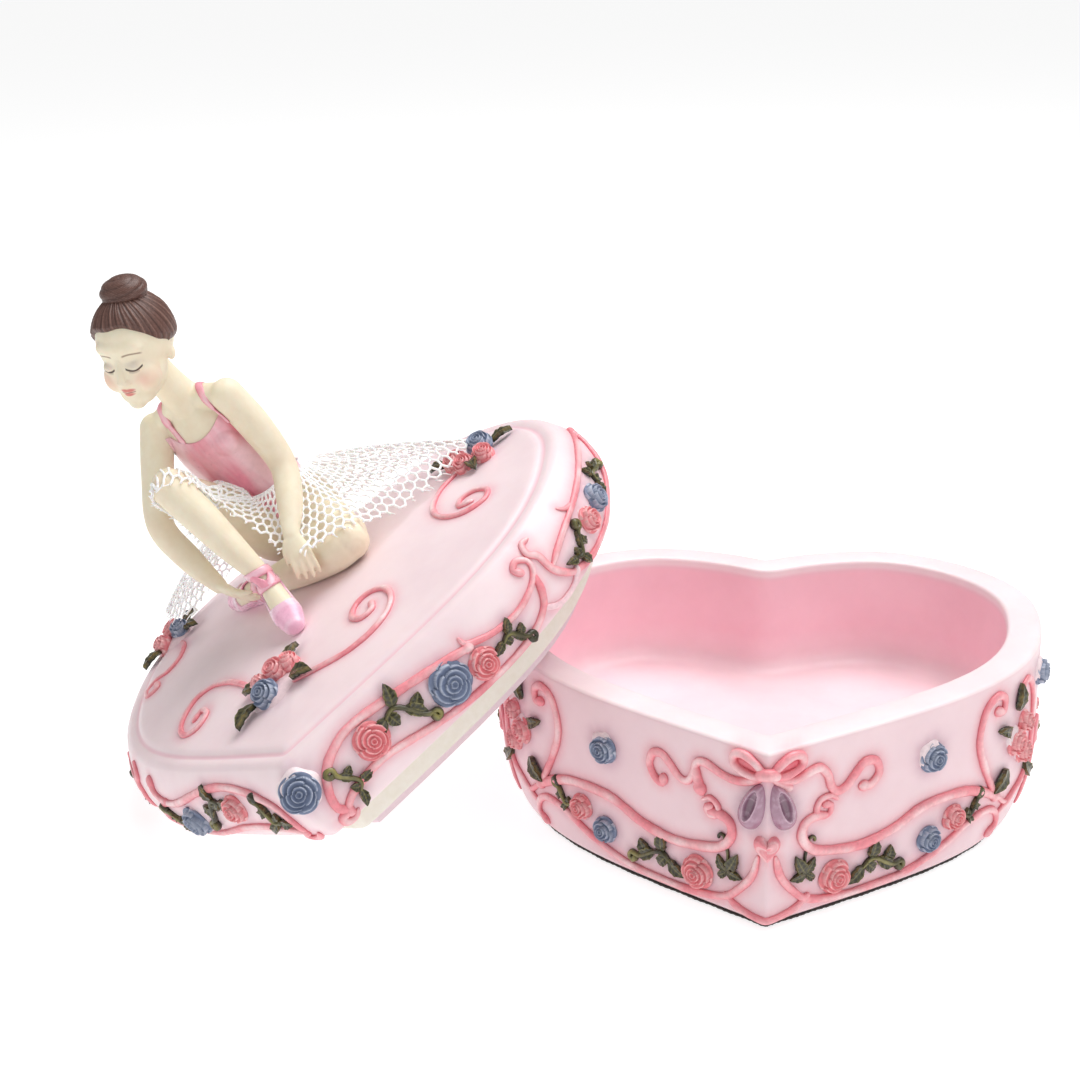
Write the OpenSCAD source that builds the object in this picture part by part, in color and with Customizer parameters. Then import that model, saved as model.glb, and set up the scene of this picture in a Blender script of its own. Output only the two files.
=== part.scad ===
// Heart-shaped wind-up music box: a resin base with a keepsake compartment and a
// thick lift-off lid that carries a seated dancer, a net skirt and the musical movement.
// The lid is modelled off the box, leaning on the left edge of its rim.

/* [Box] */
// Half of the heart's greatest width
half_w = 75; // [74:0.5:76]
// Distance from the origin forward to the point of the heart
vertex_y = 79.9; // [79:0.1:81]
// Height of the base, felt included
base_h = 47.7; // [46:0.1:49]
// Wall thickness at the rim
wall = 9.1; // [8.6:0.1:9.4]
// Height of the compartment floor above the table
floor_z = 15; // [13:0.5:18]
// Thickness of the felt pad under the base
felt_t = 1.2; // [0.8:0.1:2]

/* [Lid] */
// Height of the lid's side from its lower edge to the edge of the top
lid_h = 21.7; // [21:0.1:22.5]
// Crown of the lid's top above its edge
crown = 5; // [4:0.1:6]
// How far the cream locating ring stands below the lid
ring_drop = 9.2; // [8.8:0.1:9.4]
// Thickness of the cover board under the ring
board_t = 4.2; // [3.8:0.1:4.3]
// Tilt of the lid as it leans on the base
lean = 33.4; // [33.2:0.1:33.6]
// Height of the lid's own origin above the table
lid_z = 42.3; // [42.2:0.1:43]

/* [Movement] */
// Radius of the winding arbor
arbor_r = 2; // [1.9:0.05:2.1]
// Teeth on the crown wheel
crown_teeth = 48; // [48]
// Teeth on the cylinder's driven gear
cyl_teeth = 24; // [24]
// Number of notes in the comb
notes = 18; // [17:1:19]
// Radius of the pinned cylinder
drum_r = 6; // [5.8:0.05:6]
// Span of the winding key's wings
key_span = 22; // [18:1:24]

/* [Colours] */
// Pale pink of the resin
pink = "#f3d9dd"; // [#f3d9dd, #f7e3e6]
// Coral of the raised scrolls
coral = "#ee8b95"; // [#ee8b95, #e97f8b]
// Cream of the ring and the skin
cream = "#e6dfc8"; // [#e6dfc8, #ece6d2]

/* [Hidden] */
$fn = 48;
seg_n = 9;             // points along each of the three curves of a half heart
th = 34.2;             // slope of the outline where it leaves the point
ph = 30.4;             // slope of the outline where it reaches the cleft
wide_y = 13.2;         // where the heart is widest
lobe_x = 31.3;
lobe_y = 58.7;
cleft_y = 49.6;
key_x = -12;           // winding axis in the lid's own frame
key_y = -4;

// ---------- heart outline ----------
function bz(a, b, c, d, n, i0 = 0) = [for (i = [i0:n]) let (t = i / n, u = 1 - t) u*u*u*a + 3*u*u*t*b + 3*u*t*t*c + t*t*t*d];
P0 = [0, -vertex_y];
P3 = [half_w, wide_y];
P6 = [lobe_x, lobe_y];
P9 = [0, cleft_y];
RH = concat(
    bz(P0, P0 + 58.9 * [cos(th), sin(th)], P3 - [0, 46], P3, seg_n + 4),
    bz(P3, P3 + [0, 27.3], P6 + [18.4, 0], P6, seg_n, 1),
    bz(P6, P6 - [11, 0], P9 + 9 * [cos(ph), sin(ph)], P9, seg_n - 4, 1));
NR = len(RH);
function mir(h) = concat(h, [for (i = [NR - 2:-1:1]) [-h[i][0], h[i][1]]]);
HEART = mir(RH);
function cum(i) = i == 0 ? 0 : cum(i - 1) + norm(RH[i] - RH[i - 1]);
TX = [for (i = [0:NR - 1]) [cum(i), RH[i][0]]];
TY = [for (i = [0:NR - 1]) [cum(i), RH[i][1]]];
// point and outward normal of the outline at a distance s along it from the point of the heart
function hp(s) = [(s < 0 ? -1 : 1) * lookup(abs(s), TX), lookup(abs(s), TY)];
function hn(s) = let (d = hp(s + 1.5) - hp(s - 1.5), l = norm(d)) [d[1] / l, -d[0] / l];
// inward parallel of the half outline, for walls of even thickness
function tang(i) = let (a = i == 0 ? RH[1] - RH[0] : (i == NR - 1 ? RH[i] - RH[i - 1] : RH[i + 1] - RH[i - 1])) a / norm(a);
function inrow(t) = [for (i = [0:NR - 1]) let (p = RH[i] + t * [-tang(i)[1], tang(i)[0]]) if (p[0] > 0.4) p];
function inset(t) = let (r = inrow(t)) concat([[0, -vertex_y + t / cos(th)]], r, [[0, cleft_y - t]],
    [for (i = [len(r) - 1:-1:0]) [-r[i][0], r[i][1]]]);

// ---------- lofted shells ----------
// rings is a list of [z, scale about the point of the heart, scale about the origin]
module loft(rings) {
    n = len(HEART);
    m = len(rings);
    pts = [for (r = rings, p = HEART) [(p[0] * r[1]) * r[2], (-vertex_y + (p[1] + vertex_y) * r[1]) * r[2], r[0]]];
    polyhedron(points = pts, faces = concat(
        [[for (i = [n - 1:-1:0]) i]],
        [[for (i = [0:n - 1]) (m - 1) * n + i]],
        [for (k = [0:m - 2], i = [0:n - 1]) let (j = (i + 1) % n) [k * n + i, k * n + j, (k + 1) * n + j]],
        [for (k = [0:m - 2], i = [0:n - 1]) let (j = (i + 1) % n) [k * n + i, (k + 1) * n + j, (k + 1) * n + i]]));
}
function taper(z) = 1 - 0.09 * pow(max(0, (22 - z) / 22), 2.4);
LK = [[-1, 1.0], [0, 1.010], [2, 1.025], [6, 1.042], [10, 1.042], [15, 1.028], [19, 1.0], [lid_h, 0.972]];
function lidk(z) = lookup(z, LK);

// ---------- surface points for the ornament ----------
function bs(s, z, o = 0) = let (p = hp(s), q = hn(s), k = taper(z)) [p[0] * k + q[0] * o, -vertex_y + (p[1] + vertex_y) * k + q[1] * o, z];
function ls(s, z, o = 0) = let (p = hp(s), q = hn(s), k = lidk(z)) [p[0] * k + q[0] * o, p[1] * k + q[1] * o, z];
function topz(x, y) = let (r = norm([x, y]) / 70) lid_h + crown * (1 - min(1, r * r));
function lt(x, y, o = 0) = [x, y, topz(x, y) + o];

function cr(p, n) = [for (i = [0:len(p) - 2], k = [0:n - 1]) let (t = k / n,
    a = p[max(0, i - 1)], b = p[i], c = p[i + 1], d = p[min(len(p) - 1, i + 2)])
    0.5 * ((2 * b) + (c - a) * t + (2 * a - 5 * b + 4 * c - d) * t * t + (3 * b - a - 3 * c + d) * t * t * t)];
function smooth(p, n = 3) = concat(cr(p, n), [p[len(p) - 1]]);

// a bead of radius r that follows path, half sunk in its surface
module bead(path, nrm, r, sides = 6) {
    n = len(path);
    pts = [for (i = [0:n - 1]) let (
        d = path[min(n - 1, i + 1)] - path[max(0, i - 1)], t = d / norm(d),
        b0 = cross(t, nrm[i]), b = b0 / norm(b0), v = cross(b, t),
        f = min(1, 0.45 + 0.3 * min(i, n - 1 - i)))
        for (k = [0:sides - 1]) path[i] + r * f * (cos(360 * k / sides) * v + sin(360 * k / sides) * b)];
    polyhedron(points = pts, faces = concat(
        [[for (k = [0:sides - 1]) k]],
        [[for (k = [sides - 1:-1:0]) (n - 1) * sides + k]],
        [for (i = [0:n - 2], k = [0:sides - 1]) let (j = (k + 1) % sides) [i * sides + k, (i + 1) * sides + k, (i + 1) * sides + j]],
        [for (i = [0:n - 2], k = [0:sides - 1]) let (j = (k + 1) % sides) [i * sides + k, (i + 1) * sides + j, i * sides + j]]));
}
module base_bead(c, r = 1.2) { p = smooth(c); bead([for (q = p) bs(q[0], q[1], 0.3)], [for (q = p) [hn(q[0])[0], hn(q[0])[1], 0]], r); }
module side_bead(c, r = 1.2) { p = smooth(c); bead([for (q = p) ls(q[0], q[1], 0.3)], [for (q = p) [hn(q[0])[0], hn(q[0])[1], 0.1]], r); }
module top_bead(c, r = 1.2) { p = smooth(c); bead([for (q = p) lt(q[0], q[1], 0.3)], [for (q = p) [0, 0, 1]], r); }
function flip(c) = [for (p = c) [-p[0], p[1]]];
module both(c, r = 1.2) { base_bead(c, r); base_bead(flip(c), r); }

// a rose is a low bud, here a ball sunk in the surface; a leaf is a pointed lens
module rose_at(p, r) translate(p) sphere(r = r, $fn = 12);
module leaf(l, w, t = 1.2) {
    q = (l * l / 4 + w * w / 4) / w;
    translate([0, 0, -t / 2]) linear_extrude(t) intersection() {
        translate([0, q - w / 2]) circle(r = q);
        translate([0, -q + w / 2]) circle(r = q);
    }
}
module leaf_on_base(s, z, a, l = 8, w = 3.2) translate(bs(s, z, 0.5)) rotate([0, 0, atan2(hn(s)[1], hn(s)[0]) + 90]) rotate([90, 0, 0]) rotate([0, 0, a]) leaf(l, w);
module leaf_on_side(s, z, a, l = 8, w = 3.2) translate(ls(s, z, 0.5)) rotate([0, 0, atan2(hn(s)[1], hn(s)[0]) + 90]) rotate([90, 0, 0]) rotate([0, 0, a]) leaf(l, w);
module leaf_on_top(x, y, a, l = 8, w = 3.2) translate(lt(x, y, 0.5)) rotate([0, 0, a]) leaf(l, w);

// ---------- base ----------
module base_casting() color(pink) difference() {
    loft(concat([for (z = [felt_t, 3, 6, 10, 15, 22, base_h - 0.9]) [z, taper(z), 1]], [[base_h, 1, 0.99]]));
    translate([0, 0, floor_z]) linear_extrude(base_h) polygon(inset(wall));
}
module felt_pad() color("#2a2322") linear_extrude(felt_t) polygon([for (p = HEART) [p[0] * 0.885, -vertex_y + 1 + (p[1] + vertex_y) * 0.885]]);

module base_scrollwork() color(coral) {
    both([[14, 29.5], [11.5, 31], [9.5, 28], [10, 22.5], [14, 18.5], [21, 16.5], [29, 15.8], [38, 17.5], [48, 21], [60, 20.6], [68, 18], [76, 14.5]]);
    both([[2, 20], [4, 14], [8, 8.8], [13, 4.6], [23, 3.6], [36, 3.4], [46, 3.4], [57, 6.4], [66, 10.5], [74, 10], [81, 5.5], [79, 3.2]]);
    both([[76, 14.5], [70, 24], [67, 33], [70, 42], [75, 43.5], [76, 39.5]]);
    both([[81, 5.5], [92, 12], [97, 24], [95, 38], [89, 42.5], [86, 39]]);
    both([[76, 14.5], [84, 9], [92, 12]], 0.9);
    base_bead([[-12, 4.4], [-8, 2.9], [-4, 2.5], [0, 2.5], [4, 2.5], [8, 2.9], [12, 4.4]], 1.1);
}
module base_roses() color("#d98790") for (m = [-1, 1]) {
    rose_at(bs(50 * m, 34, -0.6), 3.6);
    rose_at(bs(20 * m, 9.5, -0.6), 4.4);
    rose_at(bs(50 * m, 11.2, -0.6), 3.8);
    rose_at(bs(57 * m, 14, -0.6), 3.6);
    rose_at(bs(84 * m, 27, -0.4), 4.2);
    rose_at(bs(88.5 * m, 22, -0.4), 3.8);
    rose_at(bs(89 * m, 31, -0.4), 3.6);
    rose_at(bs(103 * m, 39, -0.6), 3.6);
}
module base_leaves() color("#3c4222") for (m = [-1, 1]) {
    leaf_on_base(10 * m, 15.5, 55 * m);
    leaf_on_base(34 * m, 10.5, -25 * m, 9);
    leaf_on_base(40 * m, 8, 20 * m, 8);
    leaf_on_base(65 * m, 14.6, 30 * m, 7);
    leaf_on_base(80.5 * m, 19.5, 60 * m, 8);
    leaf_on_base(85 * m, 36, 100 * m, 8);
}
module base_bow() color(coral) {
    translate(bs(0, 42.4, 0.2)) rotate([90, 0, 0]) cylinder(r = 2, h = 3, center = true, $fn = 12);
    for (m = [-1, 1]) base_bead([[0.6 * m, 43], [4 * m, 45.4], [8 * m, 44.8], [8.4 * m, 42.4], [4.6 * m, 41.4], [1.6 * m, 41.6]], 1);
    base_bead([[-0.8, 41.4], [-6, 38.6], [-13, 37.8], [-19, 38.6], [-22, 32.8], [-26, 34], [-30, 37], [-34, 34.5], [-34, 31], [-31, 28.5]], 1);
    base_bead([[0.8, 41.2], [7, 38.6], [14, 39], [18, 33], [20, 30.4], [24, 33], [29, 34.8], [32, 32], [28.5, 28.5]], 1);
}
module base_slippers_emblem() color("#a77d92") {
    for (m = [-1, 1]) base_bead([[0.8 * m, 39], [3.6 * m, 36.5], [4.6 * m, 32], [3.6 * m, 28]], 2.1);
    translate(bs(0, 24, 0)) rotate([90, 0, 0]) cylinder(r = 2.6, h = 2.6, center = true);
}

// ---------- lid, in its own frame: +Z up out of the top, point of the heart at -Y ----------
module lid_place() translate([-106, -13.1, lid_z]) rotate([0, 0, 16.6]) rotate([0, -lean, 0]) rotate([0, 0, -16.6]) children();

module lid_casting() lid_place() color(pink) difference() {
    loft(concat([for (z = [0, 2, 6, 10, 15, 19, lid_h]) [z, 1, lidk(z)]],
        [for (s = [0.94, 0.85, 0.72, 0.55, 0.35]) [lid_h + crown * (1 - s * s), 1, 0.972 * s]]));
    translate([0, 0, -1]) linear_extrude(6) polygon(inset(9.5));
    translate([0, 0, -1]) linear_extrude(lid_h - 4) polygon(inset(21));
}
module lid_locating_ring() lid_place() color(cream) difference() {
    translate([0, 0, -ring_drop]) linear_extrude(ring_drop + 5) polygon(inset(9.6));
    translate([0, 0, -20]) linear_extrude(40) polygon(inset(21));
    for (p = SCREWS) translate([p[0], p[1], -20]) cylinder(r = 1.3, h = 18);
}
SCREWS = [[0, -56], [-42, -10], [42, -10], [-50, 26], [50, 26], [0, 31]];
board_z = -ring_drop - board_t;
module lid_cover_board() lid_place() color("#b79a78") difference() {
    translate([0, 0, board_z]) linear_extrude(board_t) polygon(inset(16));
    translate([key_x, key_y, -20]) cylinder(r = 2.6, h = 20);
    for (p = SCREWS) translate([p[0], p[1], -20]) { cylinder(r = 1.45, h = 20); translate([0, 0, 20 + board_z - 0.01]) cylinder(r1 = 2.9, r2 = 1.45, h = 1.5); }
    for (p = MSCREWS) translate([key_x + p[0], key_y + p[1], -20]) { cylinder(r = 1.2, h = 20); translate([0, 0, 20 + board_z - 0.01]) cylinder(r1 = 2.4, r2 = 1.2, h = 1.3); }
}
module screw(r, l, head, hh) { cylinder(r = r, h = l); difference() { cylinder(r1 = head, r2 = r, h = hh); translate([0, 0, -0.01]) for (a = [0, 90]) rotate([0, 0, a]) translate([-head * 0.6, -0.2, 0]) cube([head * 1.2, 0.4, 0.6]); } }
module board_screws() lid_place() color("silver") for (p = SCREWS) translate([p[0], p[1], board_z]) screw(1.25, 10, 2.7, 1.4);

module lid_scrollwork() lid_place() color(coral) {
    // long panel to the right of the point
    side_bead([[5, 1.5], [8, 4], [6, 10], [12, 16.8], [20, 18.6], [36, 16.6], [47, 14.4], [53, 12.8], [52, 16]]);
    side_bead([[53, 12.8], [58, 11], [66, 10], [72, 10.8], [77, 13.4], [78, 17], [74, 17.6]], 1);
    side_bead([[75, 11.5], [73, 5.5], [68, 2.4], [57, 1.6], [41, 3], [22, 7.6], [11, 7.2], [6, 3]]);
    // joining sweep and second panel
    side_bead([[73, 5.5], [79, 2], [85, 2], [88, 4.2], [82, 10.8], [81, 16.5], [84, 19]], 1);
    side_bead([[88, 4.2], [96, 2], [104, 1.6], [115, 2.4], [126, 6.9], [138, 16]]);
    side_bead([[82, 12], [96, 14.2], [110, 15.6], [124, 17], [138, 16]]);
    // the same two panels mirrored to the left
    side_bead([[-7, 1.5], [-10, 8], [-15, 14], [-24, 17.4], [-38, 17.4], [-50, 15], [-60, 12.4], [-66, 14.4], [-70, 16.6]]);
    side_bead([[-7, 1.5], [-14, 4], [-22, 6.4], [-32, 5.6], [-44, 2.2], [-57, 1.6], [-66, 3], [-73, 6], [-66, 11]]);
    side_bead([[-73, 6], [-79, 2], [-85, 2], [-88, 4.2], [-82, 10.8], [-81, 16.5], [-84, 19]], 1);
    side_bead([[-88, 4.2], [-96, 2], [-104, 1.6], [-115, 2.4], [-126, 6.9], [-138, 16]]);
    side_bead([[-82, 12], [-96, 14.2], [-110, 15.6], [-124, 17], [-138, 16]]);
    // scrolls on the top
    top_bead([[0, -45], [8, -45], [17, -44], [25, -38], [27, -30], [22, -23], [16, -23], [15, -29], [19, -32], [22, -29]]);
    top_bead([[-16, -36], [-23, -28], [-31, -22], [-38, -21], [-43, -28], [-41, -36], [-36, -39], [-33, -35], [-37, -30]]);
    top_bead([[-58, 24], [-55, 16], [-57, 9], [-63, 9], [-65, 4]]);
    top_bead([[40, 24], [35, 14], [37, 4], [44, -3], [51, -3], [53, 3], [48, 7], [43, 4], [46, 1]]);
}
module lid_roses() lid_place() color("#d98790") {
    rose_at(ls(1, 15.2, -0.6), 5);
    rose_at(ls(21, 12.8, -0.6), 4.6);
    rose_at(ls(43.5, 10, -0.6), 5.4);
    rose_at(ls(53, 8, -0.6), 4.2);
    for (m = [-1, 1]) { rose_at(ls(102 * m, 8.6, -0.6), 4); rose_at(ls(111 * m, 9.2, -0.6), 4.2); }
    rose_at(ls(-28, 11.8, -0.6), 4.2);
    rose_at(ls(-52, 7.4, -0.6), 4.4);
    rose_at(lt(-9, -46, 1.4), 4.2);
    rose_at(lt(-6, -40, 1.2), 4.2);
    rose_at(lt(-62, 30, 0.8), 4);
    rose_at(lt(-66, 26, 0.4), 3.4);
    rose_at(lt(42, 29, 1.2), 4);
    rose_at(lt(49, 31, 1), 4);
}
module lid_leaves() lid_place() color("#3c4222") {
    leaf_on_side(11.5, 9.8, 70);
    leaf_on_side(29, 12.4, 20, 9);
    leaf_on_side(35, 10, -20, 8);
    leaf_on_side(64, 6.4, 30, 9);
    for (m = [-1, 1]) { leaf_on_side(94 * m, 8, 30 * m, 8); leaf_on_side(123 * m, 11.6, 30 * m, 9); }
    leaf_on_side(-16, 10.8, -30, 9);
    leaf_on_side(-39, 12, 20, 9);
    leaf_on_side(-66, 6.4, -30, 8);
    leaf_on_top(-1, -47, 20);
    leaf_on_top(-15, -49, 60);
    leaf_on_top(-6, -33.5, 80);
    leaf_on_top(-67, 32, 60);
    leaf_on_top(40, 34, 20);
    leaf_on_top(46, 24.5, -30);
}

// ---------- dancer, seated on the lid ----------
HEAD = [-5, 18, 108];   NECK = [-7, 22, 86];
SH_R = [5, 19, 81];     EL_R = [6, 14, 56];    WR_R = [3, -2, 43];   HA_R = [3, -9, 35];
SH_L = [-19, 23, 82];   EL_L = [-30, 8, 61];   WR_L = [-25, 2, 40];  HA_L = [-17, -4, 35];
HIP_R = [-2, 32, 35];   HIP_L = [-13, 22, 36];
KN_L = [-18, 4, 70];    AN_L = [-8, -8, 38];   TO_L = [-3, -22, 29.5];
KN_R = [14, 1, 33];     AN_R = [-21, 9, 31];   TO_R = [-33, 18, 30];

// tapered limb between two joints
module bone(a, b, ra, rb) {
    d = b - a;
    translate(a) rotate([0, acos(d[2] / norm(d)), atan2(d[1], d[0])]) cylinder(r1 = ra * 0.95, r2 = rb * 0.95, h = norm(d), $fn = 24);
}
module ball(a, r) translate(a) sphere(r = r, $fn = 24);
module limb(a, b, ra, rb) { bone(a, b, ra, rb); ball(a, ra); ball(b, rb); }
module figure_skin() lid_place() color(cream) {
    ball(HEAD, 9.4);
    bone(NECK - [0, 0, 8], HEAD + [0, 2, -3], 4.4, 3.8);
    ball(SH_R, 4); bone(SH_R, EL_R, 4, 3.2); ball(EL_R, 3.2); bone(EL_R, WR_R, 3.2, 2.3); ball(HA_R, 2.6); bone(WR_R, HA_R, 2.3, 2.4); ball(WR_R, 2.4);
    ball(SH_L, 4); bone(SH_L, EL_L, 4, 3.2); ball(EL_L, 3.2); bone(EL_L, WR_L, 3.2, 2.3); ball(HA_L, 2.6); bone(WR_L, HA_L, 2.3, 2.4); ball(WR_L, 2.4);
    ball(HIP_L, 7.4); bone(HIP_L, KN_L, 7, 5); ball(KN_L, 5); bone(KN_L, AN_L, 5, 3);
    ball(HIP_R, 7.8); bone(HIP_R, KN_R, 7.4, 5.6); ball(KN_R, 5.6); bone(KN_R, AN_R, 5.6, 3.2);
}
module figure_hair() lid_place() color("#5f4038") {
    translate(HEAD + [1.5, 1.5, 2.4]) sphere(r = 10.6);
    translate(HEAD + [1, 4, 13.5]) sphere(r = 5.8);
}
module figure_leotard() lid_place() color("#e08aa4") {
    ball([-7, 27, 40], 10); bone([-7, 27, 40], [-7, 23, 60], 10, 7.6); bone([-7, 23, 59], [-7, 22, 76], 7.4, 8.4); ball([-7, 22, 76], 8.6);
}
module figure_slippers() lid_place() color("#f2b8cf") { limb(AN_L, TO_L, 3.8, 3); limb(AN_R, TO_R, 3.6, 2.9); }

// plain body for the net: a thin fan from the waist down to the lid on both sides
module net_skirt() lid_place() color("#f4f4f2") {
    A = [[-68, 34], [-58, 20], [-36, 18], [-20, 10], [2, 2], [24, 10], [44, 26], [50, 34], [34, 46], [6, 40], [-24, 42], [-50, 46]];
    n = len(A);
    W0 = [-7, 26];
    top = [for (p = A) let (d = p - W0) [W0[0] + 9 * d[0] / norm(d), W0[1] + 9 * d[1] / norm(d), 48]];
    bot = [for (p = A) [p[0], p[1], topz(p[0], p[1]) + 3.2]];
    pts = concat(top, bot, [for (p = top) p - [0, 0, 1.4]], [for (p = bot) p - [0, 0, 1.4]]);
    polyhedron(points = pts, faces = concat(
        [for (i = [0:n - 1]) let (j = (i + 1) % n) [i, j, n + j]], [for (i = [0:n - 1]) let (j = (i + 1) % n) [i, n + j, n + i]],
        [for (i = [0:n - 1]) let (j = (i + 1) % n) [2 * n + j, 2 * n + i, 3 * n + i]], [for (i = [0:n - 1]) let (j = (i + 1) % n) [2 * n + j, 3 * n + i, 3 * n + j]],
        [for (i = [0:n - 1]) let (j = (i + 1) % n) [j, i, 2 * n + i]], [for (i = [0:n - 1]) let (j = (i + 1) % n) [j, 2 * n + i, 2 * n + j]],
        [for (i = [0:n - 1]) let (j = (i + 1) % n) [n + i, n + j, 3 * n + j]], [for (i = [0:n - 1]) let (j = (i + 1) % n) [n + i, 3 * n + j, 3 * n + i]]));
}

// ---------- movement, in its own frame: origin on the winding axis at the top of the cover board ----------
module move_place() lid_place() translate([key_x, key_y, -ring_drop]) children();
MSCREWS = [[-10.5, -16], [-10.5, 16], [36, -16]];
POSTS = [[6.4, 13.4], [6.4, -13.4], [-10.6, 9.6], [-10.6, -9.6]];
shaft_z = 11;          // height of the cylinder's axis
gap = 0.07;            // running clearance of the shafts
worm_x = 34.7;
worm_y = 12.9;
lay_y = 8.05;          // distance of the intermediate shaft from the cylinder's
module xcyl(r, x0, x1, y = 0, z = shaft_z) translate([x0, y, z]) rotate([0, 90, 0]) cylinder(r = r, h = x1 - x0);

module movement_bedplate() move_place() color("#c9b37a") difference() {
    union() {
        translate([-14, -19, 0]) cube([53, 38, 2]);
        for (p = POSTS) translate([p[0], p[1], 0]) cylinder(r = 1.8, h = 5.9);
        translate([13.2, -3.5, 1]) cube([1.2, 7, 12.5]);
        translate([32.4, -3.5, 1]) cube([1, 14, 12.5]);
        translate([28.2, 7, 1]) cube([0.9, 3.5, 11.9]);
        translate([15, -18.8, 1]) cube([15.8, 5.6, 9.8]);
    }
    translate([0, 0, -1]) cylinder(r = arbor_r + gap, h = 4);
    for (p = MSCREWS) translate([p[0], p[1], -1]) cylinder(r = 0.95, h = 5);
    xcyl(1 + gap, 12, 36);
    xcyl(0.6 + gap, 27, 36, lay_y);
    translate([worm_x, worm_y, 0.6]) cylinder(r = 0.5 + gap, h = 4);
    for (x = [18, 27.8]) translate([x, -16, 6]) cylinder(r = 0.9, h = 8);
}
module comb() move_place() color("silver") difference() {
    union() {
        translate([15, -18.8, 10.8]) cube([15.8, 6.2, 0.9]);
        for (i = [0:notes - 1]) translate([15.5 + i * 14.9 / (notes - 1) - 0.3, -12.8, 10.8]) cube([0.6, 6.1, 0.6]);
    }
    for (x = [18, 27.8]) translate([x, -16, 6]) cylinder(r = 1.1, h = 8);
}
module comb_screws() move_place() color("gold") for (x = [18, 27.8]) translate([x, -16, 0]) {
    translate([0, 0, 7]) cylinder(r = 0.9, h = 5);
    difference() { translate([0, 0, 11.7]) cylinder(r = 1.9, h = 1.1); translate([-3, -0.2, 12.3]) cube([6, 0.4, 1]); }
}
module spring_housing() move_place() color("#c9b37a") difference() {
    union() {
        translate([0, 0, 5.9]) cylinder(r = 10.8, h = 10);
        for (p = POSTS) { translate([p[0], p[1], 5.9]) cylinder(r = 2.2, h = 1.2); translate([0, 0, 5.9]) rotate([0, 0, atan2(p[1], p[0])]) translate([8, -2, 0]) cube([norm(p) - 8, 4, 1.2]); }
    }
    translate([0, 0, 6.9]) cylinder(r = 10, h = 10);
    translate([0, 0, 5]) cylinder(r = arbor_r + gap, h = 4);
}
module spring_cover() move_place() color("#c9b37a") difference() {
    translate([0, 0, 15.9]) cylinder(r = 10.8, h = 0.8);
    translate([0, 0, 15]) cylinder(r = 1.2 + gap, h = 4);
}
spring_turns = 5;
module mainspring() move_place() color("#4a5a70") translate([0, 0, 7.4]) linear_extrude(8) {
    n = 14 * spring_turns;
    a = [for (i = [0:n]) let (r = 3.5 + 6.1 * i / n, t = 360 * i * spring_turns / n) r * [cos(t), sin(t)]];
    b = [for (i = [n:-1:0]) let (r = 3.85 + 6.1 * i / n, t = 360 * i * spring_turns / n) r * [cos(t), sin(t)]];
    polygon(concat(a, b));
}
module governor_frame() move_place() color("#c9b37a") difference() {
    union() {
        translate([worm_x - 1.5, 16, 2]) cube([3, 1.2, 13.4]);
        translate([worm_x - 1.5, worm_y - 1.5, 14.5]) cube([3, 4.6, 0.9]);
    }
    translate([worm_x, worm_y, 10]) cylinder(r = 0.5 + gap, h = 8);
}
module movement_screws() move_place() color("silver") for (p = MSCREWS) translate([p[0], p[1], -board_t]) screw(0.94, 5.8, 2.3, 1.2);

module winding_arbor() move_place() color("silver") {
    translate([0, 0, -12]) cylinder(r = arbor_r, h = 27.2);
    translate([0, 0, 7.4]) cylinder(r = 2.7, h = 7.6);
    translate([0, 0, 15]) cylinder(r = 1.2, h = 2.4);
}
module winding_key() move_place() color("#b9bcc0") {
    difference() {
        translate([0, 0, -12.2]) cylinder(r = 3.3, h = 7.2);
        translate([0, 0, -12]) cylinder(r = arbor_r, h = 10);
    }
    difference() {
        translate([0, 0.9, -13]) rotate([90, 0, 0]) linear_extrude(1.8) union() {
            for (m = [-1, 1]) translate([m * (key_span / 2 - 5), 0]) circle(r = 5);
            translate([-5, -3]) square([10, 3.4]);
        }
        for (m = [-1, 1]) translate([m * (key_span / 2 - 5), 2, -13]) rotate([90, 0, 0]) cylinder(r = 2.6, h = 4);
        translate([0, 0, -12.2]) cylinder(r = 3.3, h = 10);
    }
}
module crown_wheel() move_place() color("#c9b37a") difference() {
    union() {
        translate([0, 0, 3.1]) cylinder(r = 12.5, h = 1.1);
        translate([0, 0, 2.3]) cylinder(r = 4, h = 3.2);
        for (i = [0:crown_teeth - 1]) rotate([0, 0, 3.75 + i * 360 / crown_teeth]) translate([11.6, -0.26, 4]) cube([0.8, 0.52, 1.4]);
    }
    cylinder(r = arbor_r + gap, h = 8);
}
// spur wheel with n slim teeth, one of them along +Y before turning by a0
module spur(n, r, add, ded, tw, w) {
    cylinder(r = r - ded, h = w);
    for (i = [0:n - 1]) rotate([0, 0, i * 360 / n]) linear_extrude(w)
        polygon([[-tw / 2, r - ded - 0.3], [tw / 2, r - ded - 0.3], [tw / 2, r - 0.1], [tw * 0.3, r + add], [-tw * 0.3, r + add], [-tw / 2, r - 0.1]]);
}
module onx(x, y = 0) translate([x, y, shaft_z]) rotate([0, 90, 0]) rotate([0, 0, 90]) children();
module pinned_cylinder() move_place() color("#d8c48a") {
    xcyl(drum_r, 15.2, 30.4);
    xcyl(1, 10.9, 33.8);
    // tune pins: three or four to a note, set out by a fixed rule
    for (i = [0:notes - 1], k = [0:2]) translate([15.5 + i * 14.9 / (notes - 1), 0, shaft_z])
        rotate([(i * 137 + k * 119 + 23 * (i % 4)) % 360, 0, 0]) translate([0, 0, drum_r - 0.3]) cylinder(r = 0.2, h = 0.8);
}
module cylinder_gear() move_place() color("#c9b37a") {
    difference() { onx(11.6) spur(cyl_teeth, 6, 0.4, 0.8, 0.5, 0.8); xcyl(1, 10, 14); }
    difference() { onx(30.9) spur(30, 6, 0.3, 0.6, 0.42, 1); xcyl(1, 30, 34); }
}
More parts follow.
